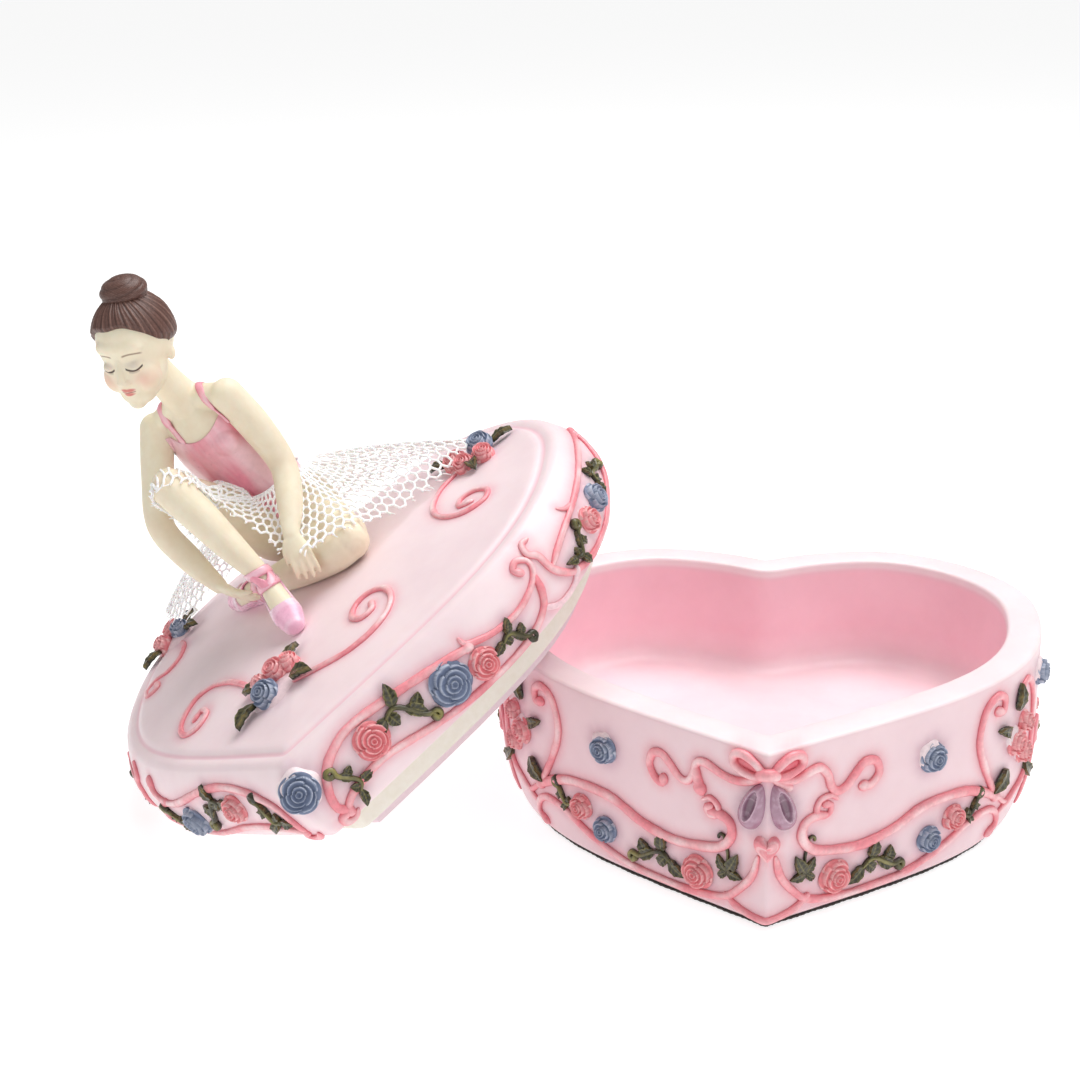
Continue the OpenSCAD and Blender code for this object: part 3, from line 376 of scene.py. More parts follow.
def leaf(bag, F, L, Wd, lift=0.9, serr=5, seed=0, c0=LEAF_C, c1=LEAF_HI, cd=LEAF_D, thick=0.55):
    """A pointed, serrated leaf from its stem end, folded along its midrib; F's x axis runs along it."""
    p, x, y, n = F; g = np.random.default_rng(abs(int(seed)) + 91); ns, nt = 30, 11
    s = np.linspace(0, 1, ns); t = np.linspace(-1, 1, nt); S, T_ = np.meshgrid(s, t, indexing="ij")
    saw = 1 + 0.16 * ((S * serr) % 1.0 - 0.5) * (np.abs(T_) > 0.55)
    w = Wd * 0.5 * np.sin(np.pi * np.clip(S, 0, 1) ** 0.8) ** 0.85 * saw
    bend = g.uniform(-0.25, 0.25)
    X = S * L; Y = T_ * w + bend * L * (S - 0.5) ** 2 - bend * L * 0.25
    Z = lift * (0.55 + 0.5 * np.sin(np.pi * S)) + 0.35 * Wd * 0.5 * np.abs(T_) ** 1.3 * np.sin(np.pi * S) * g.uniform(0.5, 1.1) + 0.12 * np.sin(S * 22) * np.abs(T_) * np.sin(np.pi * S)
    Z += 0.25 * L * 0.3 * np.clip(S - 0.6, 0, 1) * g.uniform(-0.6, 0.8)
    top = p + X[..., None] * x + Y[..., None] * y + Z[..., None] * n
    bot = p + X[..., None] * x + (Y * 0.9)[..., None] * y + (Z - thick - lift * 0.8)[..., None] * n
    V = np.vstack([top.reshape(-1, 3), bot.reshape(-1, 3)]); m = ns * nt
    f = grid_faces(ns, nt, False, flip=True) + [tuple(i + m for i in q[::-1]) for q in grid_faces(ns, nt, False, flip=True)]
    rim = [i * nt for i in range(ns)] + [(ns - 1) * nt + j for j in range(1, nt)] + [i * nt + nt - 1 for i in range(ns - 2, -1, -1)] + [j for j in range(nt - 2, 0, -1)]
    f += [(rim[i], rim[(i + 1) % len(rim)], rim[(i + 1) % len(rim)] + m, rim[i] + m) for i in range(len(rim))]
    # the midrib and side veins are lightened as vein colour; the raised edges are lightened towards c1 as a painted
    # highlight, the band beside the midrib is darkened towards cd as painted shade in the fold, and the underside is
    # painted cd as painted shade
    rib = np.exp(-(T_ / 0.14) ** 2) * 0.7 + 0.35 * (np.abs(np.sin(S * 16 - np.abs(T_) * 2.5)) > 0.9)
    edge = np.clip(np.abs(T_) - 0.72, 0, 1) / 0.28 * noise1(S * 9, seed)
    hi = np.clip(np.maximum(rib * 0.55, edge), 0, 1)[..., None]; lo = (np.exp(-((np.abs(T_) - 0.3) / 0.2) ** 2) * 0.6)[..., None]
    c = c0 * (1 - lo) + cd * lo; c = c * (1 - hi) + c1 * hi; c = c.reshape(-1, 3)
    bag.add(V, f, np.vstack([c, np.repeat(cd[None], m, 0)]))

def spath(fn, fnn, coords, o=0.1, mirror=1, step=0.5):
    c = catmull(np.asarray(coords, float) * [mirror, 1], step)
    return fn(c[:, 0], c[:, 1], o), fnn(c[:, 0], c[:, 1])

def vine(bag, F, L, H, seed=0, m=1):
    """A curling stem with three or four small leaves; F's x axis runs along it."""
    p, x, y, n = F; t = np.linspace(0, 1, 60); g = np.random.default_rng(abs(int(seed)) + 5)
    X = (t - 0.5) * L; Y = m * H * (0.42 * np.sin(t * 2 * np.pi * 0.9 + 0.5)); k = t > 0.78
    a = (t[k] - 0.78) / 0.22 * 4.6; cx, cy = X[k][0], Y[k][0]
    X = np.r_[X[~k], cx + 1.35 * np.sin(a) * (1 - a / 9)]; Y = np.r_[Y[~k], cy - m * 1.35 * (1 - np.cos(a)) * (1 - a / 12)]
    P = p + X[:, None] * x + Y[:, None] * y + 0.35 * n
    bead(bag, P, np.repeat(n[None], len(P), 0), 0.74, LEAF_C, LEAF_HI, LEAF_D, flat=1.3, sides=8, taper0=0.5, seed=seed, hi=0.9)
    for i, (tt, rot, l) in enumerate(((0.06, 195, 0.44), (0.28, 70, 0.40), (0.46, -48, 0.44), (0.64, 44, 0.30), (0.12, -60, 0.26))):
        j = int(tt * 46); rr = math.radians(rot + g.uniform(-12, 12)) * m
        c, s = math.cos(rr), math.sin(rr)
        leaf(bag, (P[j] - 0.35 * n, c * x + s * y, -s * x + c * y, n), L * l * 1.1, L * 0.235, 0.9, 3, seed + i)

def sprig(bag, F, L, seed=0, m=1):
    """Three leaves from one stem and a small curl; F's x axis points along it."""
    p, x, y, n = F
    for i, (rot, l, w) in enumerate(((0, 0.62, 0.3), (62, 0.46, 0.22), (-70, 0.44, 0.22), (150, 0.3, 0.2))):
        rr = math.radians(rot) * m; c, s = math.cos(rr), math.sin(rr)
        leaf(bag, (p, c * x + s * y, -s * x + c * y, n), L * l, L * w, 0.9, 4, seed + i)
    t = np.linspace(0, 1, 30); X = L * (0.15 + 0.55 * t); Y = m * L * (0.1 + 0.35 * t ** 2); a = np.linspace(0, 4, 16)[1:]
    X = np.r_[X, X[-1] + 0.9 * np.sin(a)]; Y = np.r_[Y, Y[-1] + m * 0.9 * (1 - np.cos(a))]
    P = p + X[:, None] * x + Y[:, None] * y + 0.3 * n
    bead(bag, P, np.repeat(n[None], len(P), 0), 0.42, LEAF_C, LEAF_HI, LEAF_D, flat=1.2, sides=7, seed=seed, ball=False)

def pad(bag, F, R, h, c=PINK_HI, seed=0):
    """The low mound that a rose is cast on, in the colour c."""
    p, x, y, n = F; nr, nt = 14, 60; r, t = np.meshgrid(np.linspace(0, 1, nr), np.linspace(0, 2 * np.pi, nt, endpoint=False), indexing="ij")
    R2 = R * (1 + 0.06 * np.cos(5 * t + seed)); z = h * np.clip(1 - r ** 4, 0, 1) - 0.9 * r ** 8
    v = p + (r * R2 * np.cos(t))[..., None] * x + (r * R2 * np.sin(t))[..., None] * y + z[..., None] * n
    bag.add(v.reshape(-1, 3), grid_faces(nr, nt, True), c)

PK, BL = (ROSEC, ROSE_HI, ROSE_D), (BLUE_C, BLUE_HI, BLUE_D)

# ---- base ornament
scroll, roses, leaves, bow, emblem = Bag(), Bag(), Bag(), Bag(), Bag()
BASE_SCROLL = [([(20.5, 30.6), (18.4, 32.2), (15.2, 31.6), (14.2, 29.0), (16, 27.0), (18.2, 27.6), (18.4, 29.6), (16.8, 30.2)], 0.85),
    ([(17.4, 27.2), (13.5, 27.6), (10.6, 26.2), (10.2, 22.6), (13.6, 18.6), (21, 16.6), (29, 15.9), (38, 17.5), (48, 21), (60, 20.9), (68, 18.6), (76, 14.5)], 1.35),
    ([(2.4, 19.6), (4, 14), (8, 8.8), (13, 5.2), (23, 3.4), (36, 3.3), (46, 4.0), (57, 7.2), (66, 11.0), (73, 11.6), (78, 9.4), (81, 5.5), (78.6, 3.6)], 1.05),
    ([(76, 13.4), (70, 24), (67, 33), (69, 41), (73.4, 43.6), (77, 42), (76.6, 38.6), (74, 39.2)], 1.15),
    ([(79.4, 8), (86, 11), (93, 15), (97, 25), (95.6, 37), (91, 42.4), (87, 41.4), (86.4, 38)], 1.05),
    ([(76, 14.5), (84, 10), (92, 13)], 0.8), ([(100, 3.6), (99, 12), (101, 20), (107, 24), (112, 20), (110, 16)], 0.9),
    ([(115, 12), (126, 20), (140, 26), (154, 26), (166, 20), (172, 12)], 1.1), ([(112, 4), (124, 10), (138, 15), (154, 15), (168, 9), (176, 4)], 1.0),
    ([(172, 12), (180, 17), (186, 25), (184, 34), (177, 37), (173, 33), (176, 30)], 1.1), ([(176, 4), (190, 10), (202, 18), (212, 30), (218, 38), (226, 40)], 1.0)]
for k_, m_ in enumerate((1, -1)):
    for i, (c, r) in enumerate(BASE_SCROLL):
        if m_ == -1 and i == 0:
            c = [(-s, z) for s, z in [(-18.8, 30.0), (-16.5, 31.2), (-14.2, 29.6), (-14.4, 27.2), (-16.4, 26.4), (-17.6, 28.0), (-16.4, 28.9)]]
        P, N = spath(bs, bsn, c, 0.25, m_); bead(scroll, P, N, r, seed=i * 3 + k_ * 17)
P, N = spath(bs, bsn, [(-12.5, 6.2), (-9, 3.8), (-4.5, 2.7), (0, 2.4), (4.5, 2.7), (9, 3.8), (12.5, 6.2)], 0.15); bead(scroll, P, N, 1.0, seed=50, ball=False)
def bfr(s, z, rot=0.0, o=0.0): return frame_at(bs(s, z, o), bsn(s, z), math.radians(rot))
for m_ in (1, -1):
    for i, (s, z, R, kind, dx) in enumerate(((50, 34, 4.0, BL, 1), (103.5, 39.3, 3.8, BL, 1), (58.5, 14.6, 3.5, PK, 0), (50.6, 11.0, 3.6, BL, 0), (20.5, 9.4, 4.5, PK, 0),
                                  (84, 27, 3.9, PK, 1), (88.6, 22.6, 3.4, PK, 1), (89, 31, 3.0, PK, 0), (140, 20.5, 3.8, PK, 0), (149, 20.5, 3.8, BL, 0), (131, 17.4, 3.0, PK, 0), (199, 32, 3.9, BL, 1))):
        F = bfr(s * m_, z, 37 * i + 20 * m_)
        # pads of the roses marked dx are whitish and set higher, so their rim shows above the rose as a painted
        # highlight; the others are a little darker than the wall, painted shade round the rose's foot
        if dx: pad(roses, bfr(s * m_ - 0.5, z + 0.75), R * 1.06, 1.3, PINK_C * 0.4 + PINK_HI * 0.6, seed=i)
        else: pad(roses, bfr(s * m_, z), R * 1.05, 0.8, PINK_C * 0.93, seed=i)
        rose(roses, (F[0] + 0.4 * F[3],) + F[1:], R, 2.9, *kind, seed=i * 7 + m_)
    vine(leaves, bfr(36.5 * m_, 9.4, 12 * m_ if m_ > 0 else 180 - 12), 13.5, 6.0, seed=3 + m_, m=m_)
    F = bfr(11.6 * m_, 12.4, 90 + 28 * m_); sprig(leaves, F, 10.5, seed=20 + m_, m=-m_)
    vine(leaves, bfr(66.4 * m_, 15.2, 8 if m_ > 0 else 172), 7.5, 4.2, seed=31 + m_, m=-m_)
    for i, (s, z, a, l, w) in enumerate(((80.4, 20.6, 212, 8.5, 4.0), (84.6, 35.6, 82, 7.6, 3.4), (92, 17.6, -50, 7, 3.2), (80.6, 31, 160, 6, 3), (144, 25, 80, 6, 3), (156, 20, 5, 8, 3.4), (125, 15, 190, 8, 3.4))):
        leaf(leaves, bfr(s * m_, z, a if m_ > 0 else 180 - a, 0.2), l, w, 1.3, 5, seed=40 + i)
# bow and ribbons
for m_ in (1, -1):
    P, N = spath(bs, bsn, [(0.8, 42.6), (3.4, 44.6), (6.6, 46.0), (9.2, 45.4), (9.4, 43.2), (6.8, 41.6), (3.6, 41.2), (0.9, 42.0)], 0.6, m_, 0.4); bead(bow, P, N, 1.15, flat=1.0, seed=61 + m_, ball=False, taper0=0.8, taper1=0.8)
    P, N = spath(bs, bsn, [(1.8, 42.4), (4.6, 43.3), (7.6, 43.7)], 0.2, m_, 0.4); bead(bow, P, N, 1.3, CORAL_D, CORAL_C, CORAL_D * 0.8, flat=0.4, seed=63 + m_, ball=False)
P, N = spath(bs, bsn, [(-1.6, 42.1), (0, 42.6), (1.6, 42.1)], 0.9); bead(bow, P, N, 1.7, flat=1.0, seed=66, ball=False, taper0=0.9, taper1=0.9)
for i, (c, r) in enumerate((([(-0.9, 41.6), (-5, 39.2), (-9, 38.2), (-13, 38.6), (-18, 40.2), (-20.6, 39.4), (-21.6, 36.0), (-23.4, 33.6), (-26.0, 34.0), (-28.6, 36.6), (-31.2, 38.6), (-34.0, 38.0), (-35.0, 34.8), (-33.4, 31.6), (-31.2, 30.6), (-30.6, 32.2)], 1.1),
                       ([(-21.0, 38.6), (-20.4, 35.6), (-19.4, 32.6)], 1.5), ([(0.9, 41.6), (4, 40.0), (8, 39.2), (11.6, 40.2), (14.8, 40.6), (17.2, 38.2), (18.4, 34.6), (20.4, 32.8), (23, 33.6), (25, 35.6), (28.2, 38.6), (31.8, 38.0), (32.8, 34.6), (30.4, 32.0), (28.0, 32.2)], 1.2), ([(1.0, 41.2), (3.4, 39.2), (6.0, 37.6)], 1.0))):
    P, N = spath(bs, bsn, c, 0.25, 1, 0.4); bead(bow, P, N, r, flat=0.75, seed=70 + i)
# slippers hanging from the bow
def slipper_emblem(bag, m_):
    nr, nt = 26, 44; r, t = np.meshgrid(np.linspace(0, 1, nr), np.linspace(0, 2 * np.pi, nt, endpoint=False), indexing="ij")
    p, x, y, n = bfr(4.1 * m_, 32.8, 19 * m_)
    X = r * np.cos(t); Y = r * np.sin(t); w = 3.5 * (1 - 0.32 * Y); yy = Y * 7.3
    dome = np.clip(1 - r ** 3, 0, 1) ** 0.6 * 2.5
    op = ((X * w) / 1.45) ** 2 + ((yy - 1.0) / 4.3) ** 2
    dome = dome - 1.5 * np.clip(1.0 - op, 0, 1) ** 0.5 + 0.45 * np.exp(-((op - 1.15) / 0.25) ** 2) - 1.2 * r ** 8
    v = p + (X * w)[..., None] * x + yy[..., None] * y + dome[..., None] * n
    # a lighter ring along the raised rim of the opening is a painted highlight, with a few lighter bands across it; the
    # hollow of the opening is darkened towards MAUVE_D as painted shade
    hi = np.exp(-((op - 1.15) / 0.22) ** 2) * 0.7 + 0.25 * (noise1(yy * 1.3, 4) > 0.72); lo = np.clip(1.0 - op, 0, 1) ** 0.6 * 0.75
    c = MAUVE_C * (1 - lo[..., None]) + MAUVE_D * lo[..., None]; hi = np.clip(hi, 0, 1)[..., None]; c = c * (1 - hi) + MAUVE_HI * hi
    bag.add(v.reshape(-1, 3), grid_faces(nr, nt, True), c.reshape(-1, 3))
for m_ in (1, -1): slipper_emblem(emblem, m_)
# the little heart under them
def small_heart(bag):
    nr, nt = 12, 60; r, t = np.meshgrid(np.linspace(0, 1, nr), np.linspace(0, 2 * np.pi, nt, endpoint=False), indexing="ij")
    hx = 16 * np.sin(t) ** 3 / 16.0; hy = (13 * np.cos(t) - 5 * np.cos(2 * t) - 2 * np.cos(3 * t) - np.cos(4 * t)) / 16.0
    s = hx * r * 3.7; z = 22.6 + hy * r * 3.9; o = 2.0 * np.clip(1 - r ** 4, 0, 1) ** 0.6 - 0.35 * np.exp(-(r / 0.35) ** 2) - 0.5 * r ** 8
    v = bs(s, z, o); hi = np.clip(noise1(r * 6 + t * 2, 3) - 0.35, 0, 1)[..., None]
    bag.add(v.reshape(-1, 3), grid_faces(nr, nt, True, flip=True), (CORAL_C * (1 - hi) + PEARL_AND_HIGHLIGHT_C * hi).reshape(-1, 3))
small_heart(bow)

def shade_round_ornament(P, col, groups):
    """Painted shade on the wall round the ornament, tinted with each group's colour: groups of (points, colour, reach,
    strength).
    """
    for pts, c, reach, k in groups:
        kd = KDTree(len(pts))
        for i, q in enumerate(pts): kd.insert(q, i)
        kd.balance()
        d = np.array([kd.find(q)[2] for q in P]); w = (np.exp(-(d / reach) ** 2) * k)[:, None]
        col = col * (1 - w) + c * w
    return col

# ---- base casting
NC = 600
S_ = np.linspace(-LEN, LEN, NC, endpoint=False)
rows, cols = [], []
def brow(z, o): rows.append(bs(S_, z, o))
nfloor = 14
cen = np.array([0.0, 5.0])
fel = (smooth_outline(S_, 1.2) - [0, -A]) * 0.9 + [0, -A + 0.6]
for k in (0.2, 0.55, 0.85, 1.0): rows.append(np.c_[cen + (fel - cen) * k, np.full(NC, FELT)])
zz = np.r_[[FELT], FELT + 1.2 * (1 - np.cos(np.linspace(0.3, 1.57, 4))), np.arange(3.0, HB - 1.3, 0.75), HB - 1.1 + 1.1 * np.sin(np.linspace(0, 1.57, 6))]
oo = np.r_[[-1.2], -1.2 + 1.2 * np.sin(np.linspace(0.3, 1.57, 4)), np.zeros(len(np.arange(3.0, HB - 1.3, 0.75))), -1.1 + 1.1 * np.cos(np.linspace(0, 1.57, 6))]
for z, o in zip(zz, oo): brow(z, o)
n_out = len(rows)
off = NC // 2
def iloop(t, z, k=6):
    q = round_loop(inset(t, NC), k); q = np.roll(q, off, 0)      # column 0 is the cleft, as on the outside
    return np.c_[q, np.full(NC, z)]
for t, z in ((WALL - 1.0, HB), (WALL - 0.55, HB - 0.12), (WALL - 0.2, HB - 0.4), (WALL, HB - 0.95)): rows.append(iloop(t, z))
n_rim = len(rows)
for z in np.linspace(HB - 2, FLOOR_Z + 5.2, 26): rows.append(iloop(WALL, z, 8))
for a in np.linspace(0.12, 1.57, 9): rows.append(iloop(WALL + 5.0 * (1 - math.cos(a)), FLOOR_Z + 5.0 * (1 - math.sin(a)), 10))
n_in = len(rows)
last = rows[-1]
for k in np.linspace(0.93, 0.03, nfloor): rows.append(np.c_[cen + (last[:, :2] - cen) * k, np.full(NC, FLOOR_Z)])
V = np.vstack(rows); nr = len(rows)
F_ = grid_faces(nr, NC, True); F_.append(tuple(range(NC - 1, -1, -1))); F_.append(tuple((nr - 1) * NC + c for c in range(NC)))
C = np.repeat(PINK_C[None], len(V), 0)
idx = np.repeat(np.arange(nr), NC); zv = V[:, 2]
wi = np.clip((idx - n_rim + 1) / 3.0, 0, 1)[:, None]
fl = np.clip(((FLOOR_Z + 12) - zv) / 12.0, 0, 1)[:, None]
C = C * (1 - wi) + (PINK_IN * (1 - fl) + PINK_FLOOR * fl) * wi
rimw = ((idx >= n_out - 4) & (idx <= n_rim)).astype(float)[:, None]; C = C * (1 - rimw * 0.7) + PINK_HI * rimw * 0.7
sel = idx < n_out
# the wall close to the scrollwork, roses, leaves and slippers is darkened and tinted as painted shade
Cs = shade_round_ornament(V[sel], C[sel], [(np.vstack(scroll.v + bow.v)[::5], np.array(lin((236, 168, 178))), 1.9, 0.55), (np.vstack(roses.v + leaves.v)[::6], np.array(lin((196, 150, 168))), 2.0, 0.42), (np.vstack(emblem.v)[::3], np.array(lin((186, 150, 168))), 1.8, 0.5)])
C[sel] = Cs
o = make_mesh("base_casting_cast", V, F_, RESIN, "box", C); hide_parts("base_casting")
o = scroll.make("base_scrollwork_cast", CORAL, "box", "coral_paint"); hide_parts("base_scrollwork")
o = roses.make("base_roses_cast", ROSE, "box", "rose_paint"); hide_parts("base_roses")
o = leaves.make("base_leaves_cast", LEAF, "box", "leaf_paint"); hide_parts("base_leaves")
o = bow.make("base_bow_cast", CORAL, "box", "coral_paint"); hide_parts("base_bow")
o = emblem.make("base_slippers_cast", MAUVE, "box", "mauve_paint"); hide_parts("base_slippers_emblem")

# felt under the base
FELTM, nt, p = nodes_of("dark_felt"); v = coords(nt)
n1, n2 = noise(nt, v, 3.5, 6, 0.75), noise(nt, v, 0.35, 3)
nt.links.new(mixc(nt, n1, lin((24, 18, 17)), lin((66, 52, 48))), p.inputs["Base Color"]); setp(p, rough=0.95, spec=0.1, sheen=0.4, sheen_rough=0.6); bump(nt, p, n1, 0.6, 0.3 * MM)
rows = []; fz = [(0.0, 0.985), (0.15, 0.995), (0.6, 1.0), (1.05, 0.995), (1.19, 0.985)]
fo = (smooth_outline(S_, 1.5) - [0, -A]) * 0.897 + [0, -A + 0.7]
rows.append(np.c_[cen + (fo - cen) * 0.3, np.full(NC, 0.0)])
for z, k in fz:
    jit = 0.12 * np.sin(S_ * 3.1) + 0.1 * np.sin(S_ * 7.7 + 1); q = cen + (fo - cen) * k; q = q + hn(S_) * jit[:, None]
    rows.append(np.c_[q, np.full(NC, z)])
rows.append(np.c_[cen + (fo - cen) * 0.3, np.full(NC, 1.19)])
V = np.vstack(rows); F_ = grid_faces(len(rows), NC, True); F_.append(tuple(range(NC - 1, -1, -1))); F_.append(tuple((len(rows) - 1) * NC + c for c in range(NC)))
o = make_mesh("felt_pad_fibre", V, F_, FELTM, "box"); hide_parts("felt_pad")

# ------------------------------------------------------------------ lid
lscroll, lroses, lleaves = Bag(), Bag(), Bag()
def lfr(s, z, rot=0.0, o=0.0): return frame_at(ls(s, z, o), lsn(s, z), math.radians(rot))
SIDE_R = [([(8.4, 1.6), (6.6, 0.4), (4.6, 1.0), (4.8, 3.0), (7.0, 3.4), (5.8, 6.0), (6.4, 10), (8.6, 14.2), (12.6, 17.0), (20, 18.4), (36, 16.4), (47, 14.2), (53, 12.8)], 1.15),
    ([(52.4, 16.0), (52.6, 14.2), (54.6, 12.8), (60, 10.9), (67, 10.1), (73, 11.2), (77.4, 13.4), (79, 16.4), (77, 18.4), (74.6, 17.4), (75.4, 15.8)], 0.85),
    ([(77.4, 13.2), (76, 9), (73.6, 5.4), (68, 2.6), (57, 1.7), (41, 3), (22, 7.4), (12, 6.6), (8, 4.6), (7.0, 2.6)], 1.1),
    ([(73.6, 5.4), (78, 2.4), (82, 1.6), (86, 2.2), (88.4, 4.4)], 0.95),
    ([(84.4, 19.4), (82, 19.6), (80.6, 17.4), (82, 15.2), (82.2, 10.4), (85, 6.4), (88.4, 4.2), (96, 2.1), (104, 1.7), (115, 2.5), (126, 6.9), (134, 12.6), (139, 17)], 1.05),
    ([(82.2, 10.4), (88, 12.4), (96, 14.0), (110, 15.4), (124, 16.6), (134, 17.2), (142, 17)], 0.95),
    ([(98, 17.6), (99.4, 15.8), (103, 14.6)], 0.7),
    ([(150, 4), (160, 8), (168, 14), (178, 17), (188, 14), (192, 8), (188, 4), (184, 6)], 1.0), ([(160, 3), (176, 2), (192, 4), (206, 10), (214, 17), (222, 18)], 1.0)]
for i, (c, r) in enumerate(SIDE_R):
    P, N = spath(ls, lsn, c, 0.25); bead(lscroll, P, N, r, c0=CORAL_C if i != 3 else np.array(lin((244, 206, 214))), seed=100 + i, hi=0.75 if i != 3 else 1.0)
SIDE_L = [([(-3.6, 2.6), (-5.4, 0.6), (-8, 0.2), (-9.4, 1.6), (-8, 3.4), (-14, 4.9), (-22, 6.0), (-32, 5.4), (-42, 3.0), (-50, 1.6), (-60, 1.7), (-66, 3.2), (-70, 6), (-69, 10), (-63, 12.6)], 1.05),
    ([(-7.6, 4), (-8.6, 8), (-12, 13), (-21, 16.6), (-32, 17.8), (-44, 16.2), (-56, 13), (-63, 12.4), (-68, 14.4), (-69.4, 18)], 1.1)]
for i, (c, r) in enumerate(SIDE_L):
    P, N = spath(ls, lsn, c, 0.25); bead(lscroll, P, N, r, seed=120 + i)
for i, (c, r) in enumerate(SIDE_R[3:]):
    P, N = spath(ls, lsn, c, 0.25, -1); bead(lscroll, P, N, r, seed=130 + i)
TOP = [([(-1, -45.2), (6, -45.0), (12, -44.6), (17, -43.4), (22.5, -40), (26.4, -34.5), (26.8, -28.0), (23.8, -22.6), (18.8, -21.6), (15.4, -24.6), (15.2, -29.4), (18.2, -32.0), (21.2, -30.2), (20.8, -27.2)], 0.95),
    ([(-13, -42), (-16.6, -36), (-21.6, -30), (-27, -25), (-33, -21.8), (-38.8, -22.2), (-42.4, -27.0), (-42.6, -33.0), (-39.6, -37.4), (-35.2, -37.4), (-33.0, -33.8), (-35.2, -30.6), (-37.6, -32.6)], 0.9),
    ([(-58.5, 24), (-55.6, 18), (-55.4, 12), (-58.4, 8.4), (-63.4, 8.2), (-66.4, 4.6), (-64.6, 0.6), (-61.4, 2.0), (-62.4, 4.8)], 0.85),
    ([(41, 24), (37, 18), (35.6, 10), (37.4, 3.2), (42, -1.8), (47.6, -3.4), (52.6, -0.8), (52.8, 4.2), (48.6, 6.8), (44.6, 5.0), (45.0, 1.4), (48.2, 1.2)], 0.9)]
for i, (c, r) in enumerate(TOP):
    q = catmull(c, 0.5); bead(lscroll, lt(q[:, 0], q[:, 1], 0.2), ltn(q[:, 0], q[:, 1]), r, seed=150 + i, hi=0.9)
for i, (s, z, R, kind, big) in enumerate(((1, 15.0, 5.0, BL, 1), (21.5, 12.6, 4.7, PK, 0), (44, 9.5, 5.7, BL, 0), (53.2, 7.2, 4.2, PK, 0), (102.4, 8.7, 3.6, PK, 0), (111.4, 9.3, 4.0, BL, 0), (-28.4, 12.2, 3.9, PK, 0), (-52, 7.4, 4.6, BL, 0), (-103, 8.7, 3.6, PK, 0), (-112, 9.3, 4.0, BL, 0), (197, 12, 4, PK, 0), (-197, 12, 4, PK, 0))):
    F = lfr(s, z, 41 * i)
    # the big roses' pads are whitish and set higher, so their rim shows above the rose as a painted highlight; the
    # others are a little darker than the wall, painted shade round the rose's foot
    if big: pad(lroses, lfr(s + 0.5, z + 0.7), R * 1.07, 1.2, PINK_C * 0.4 + PINK_HI * 0.6, seed=i)
    else: pad(lroses, lfr(s, z), R * 1.06, 0.8, PINK_C * 0.94, seed=i)
    rose(lroses, (F[0] + 0.3 * F[3],) + F[1:], R, 3.0, *kind, seed=60 + i * 5)
vine(lleaves, lfr(33.5, 11.2, -12), 14.5, 7.0, seed=71, m=1)
vine(lleaves, lfr(11.9, 10.4, 82), 9.5, 5.0, seed=73, m=-1)
vine(lleaves, lfr(64.4, 5.9, -4), 9.5, 5.2, seed=75, m=1)
vine(lleaves, lfr(94.6, 8.2, 8), 9.5, 5.0, seed=77, m=-1)
vine(lleaves, lfr(122.6, 11.6, 34), 9.5, 5.0, seed=79, m=1)
vine(lleaves, lfr(-16.6, 11.0, 155), 10.5, 5.0, seed=81, m=1)
vine(lleaves, lfr(-40, 11.2, 190), 11.5, 6.5, seed=83, m=-1)
vine(lleaves, lfr(-64, 7.4, 185), 8, 5.0, seed=85, m=1)
vine(lleaves, lfr(-94.6, 8.2, 172), 9.5, 5.0, seed=87, m=1)
vine(lleaves, lfr(-122.6, 11.6, 146), 9.5, 5.0, seed=89, m=-1)
def tfr(x, y, rot=0.0, o=0.0, tilt=(0, 0)):
    n = ltn(x, y) + np.array([tilt[0], tilt[1], 0.0]); return frame_at(lt(x, y, o), n, math.radians(rot), up=(0, 1, 0))
for cx, cy, sd in ((-7.5, -43.5, 0), (-63, 31, 1), (45, 29, 2)):
    pad(lroses, tfr(cx, cy), 7.6, 1.6, PINK_C, seed=sd)
for i, (x, y, R, kind, o, tilt) in enumerate(((-8.6, -46.6, 4.0, BL, 2.0, (-0.1, -0.55)), (-6.0, -39.6, 3.8, PK, 2.4, (0, -0.3)), (-2.2, -38.6, 3.0, PK, 1.8, (0.3, 0.1)), (-10.6, -41.2, 2.8, PK, 2.0, (-0.5, 0)),
                                    (-63.4, 33, 3.8, PK, 2.0, (-0.2, -0.2)), (-66, 27.4, 3.2, PK, 1.6, (-0.4, -0.3)), (-59.8, 30, 3.2, BL, 1.8, (0.3, -0.2)),
                                    (41.2, 28.6, 3.8, PK, 1.8, (-0.2, -0.3)), (44.4, 24.6, 3.2, PK, 1.4, (0, -0.5)), (49.2, 31.2, 3.9, BL, 2.8, (0.1, -0.4)), (50.2, 25.8, 3.2, PK, 1.4, (0.4, -0.4)))):
    F = tfr(x, y, 50 * i, o, tilt); rose(lroses, F, R, 3.2, *kind, seed=90 + i * 3)
for i, (x, y, a, l, w) in enumerate(((-0.8, -45.2, -14, 7.0, 4.2), (-12.6, -47.2, 236, 8.0, 4.0), (-3.6, -36.2, 68, 6.6, 3.0), (-12.4, -40, 170, 5.6, 2.8), (-66.5, 25.5, 226, 7.5, 3.6), (-60, 35.6, 70, 6.4, 3.0), (-57.4, 28.6, -20, 5.5, 2.8),
                                 (52.2, 33, 24, 6.5, 3.0), (46.4, 24.4, -70, 6.0, 3.4), (37.6, 31, 160, 6.2, 3.0), (45.6, 33.4, 96, 6.0, 2.8))):
    leaf(lleaves, tfr(x, y, a, 1.5), l, w, 1.2, 5, seed=170 + i)

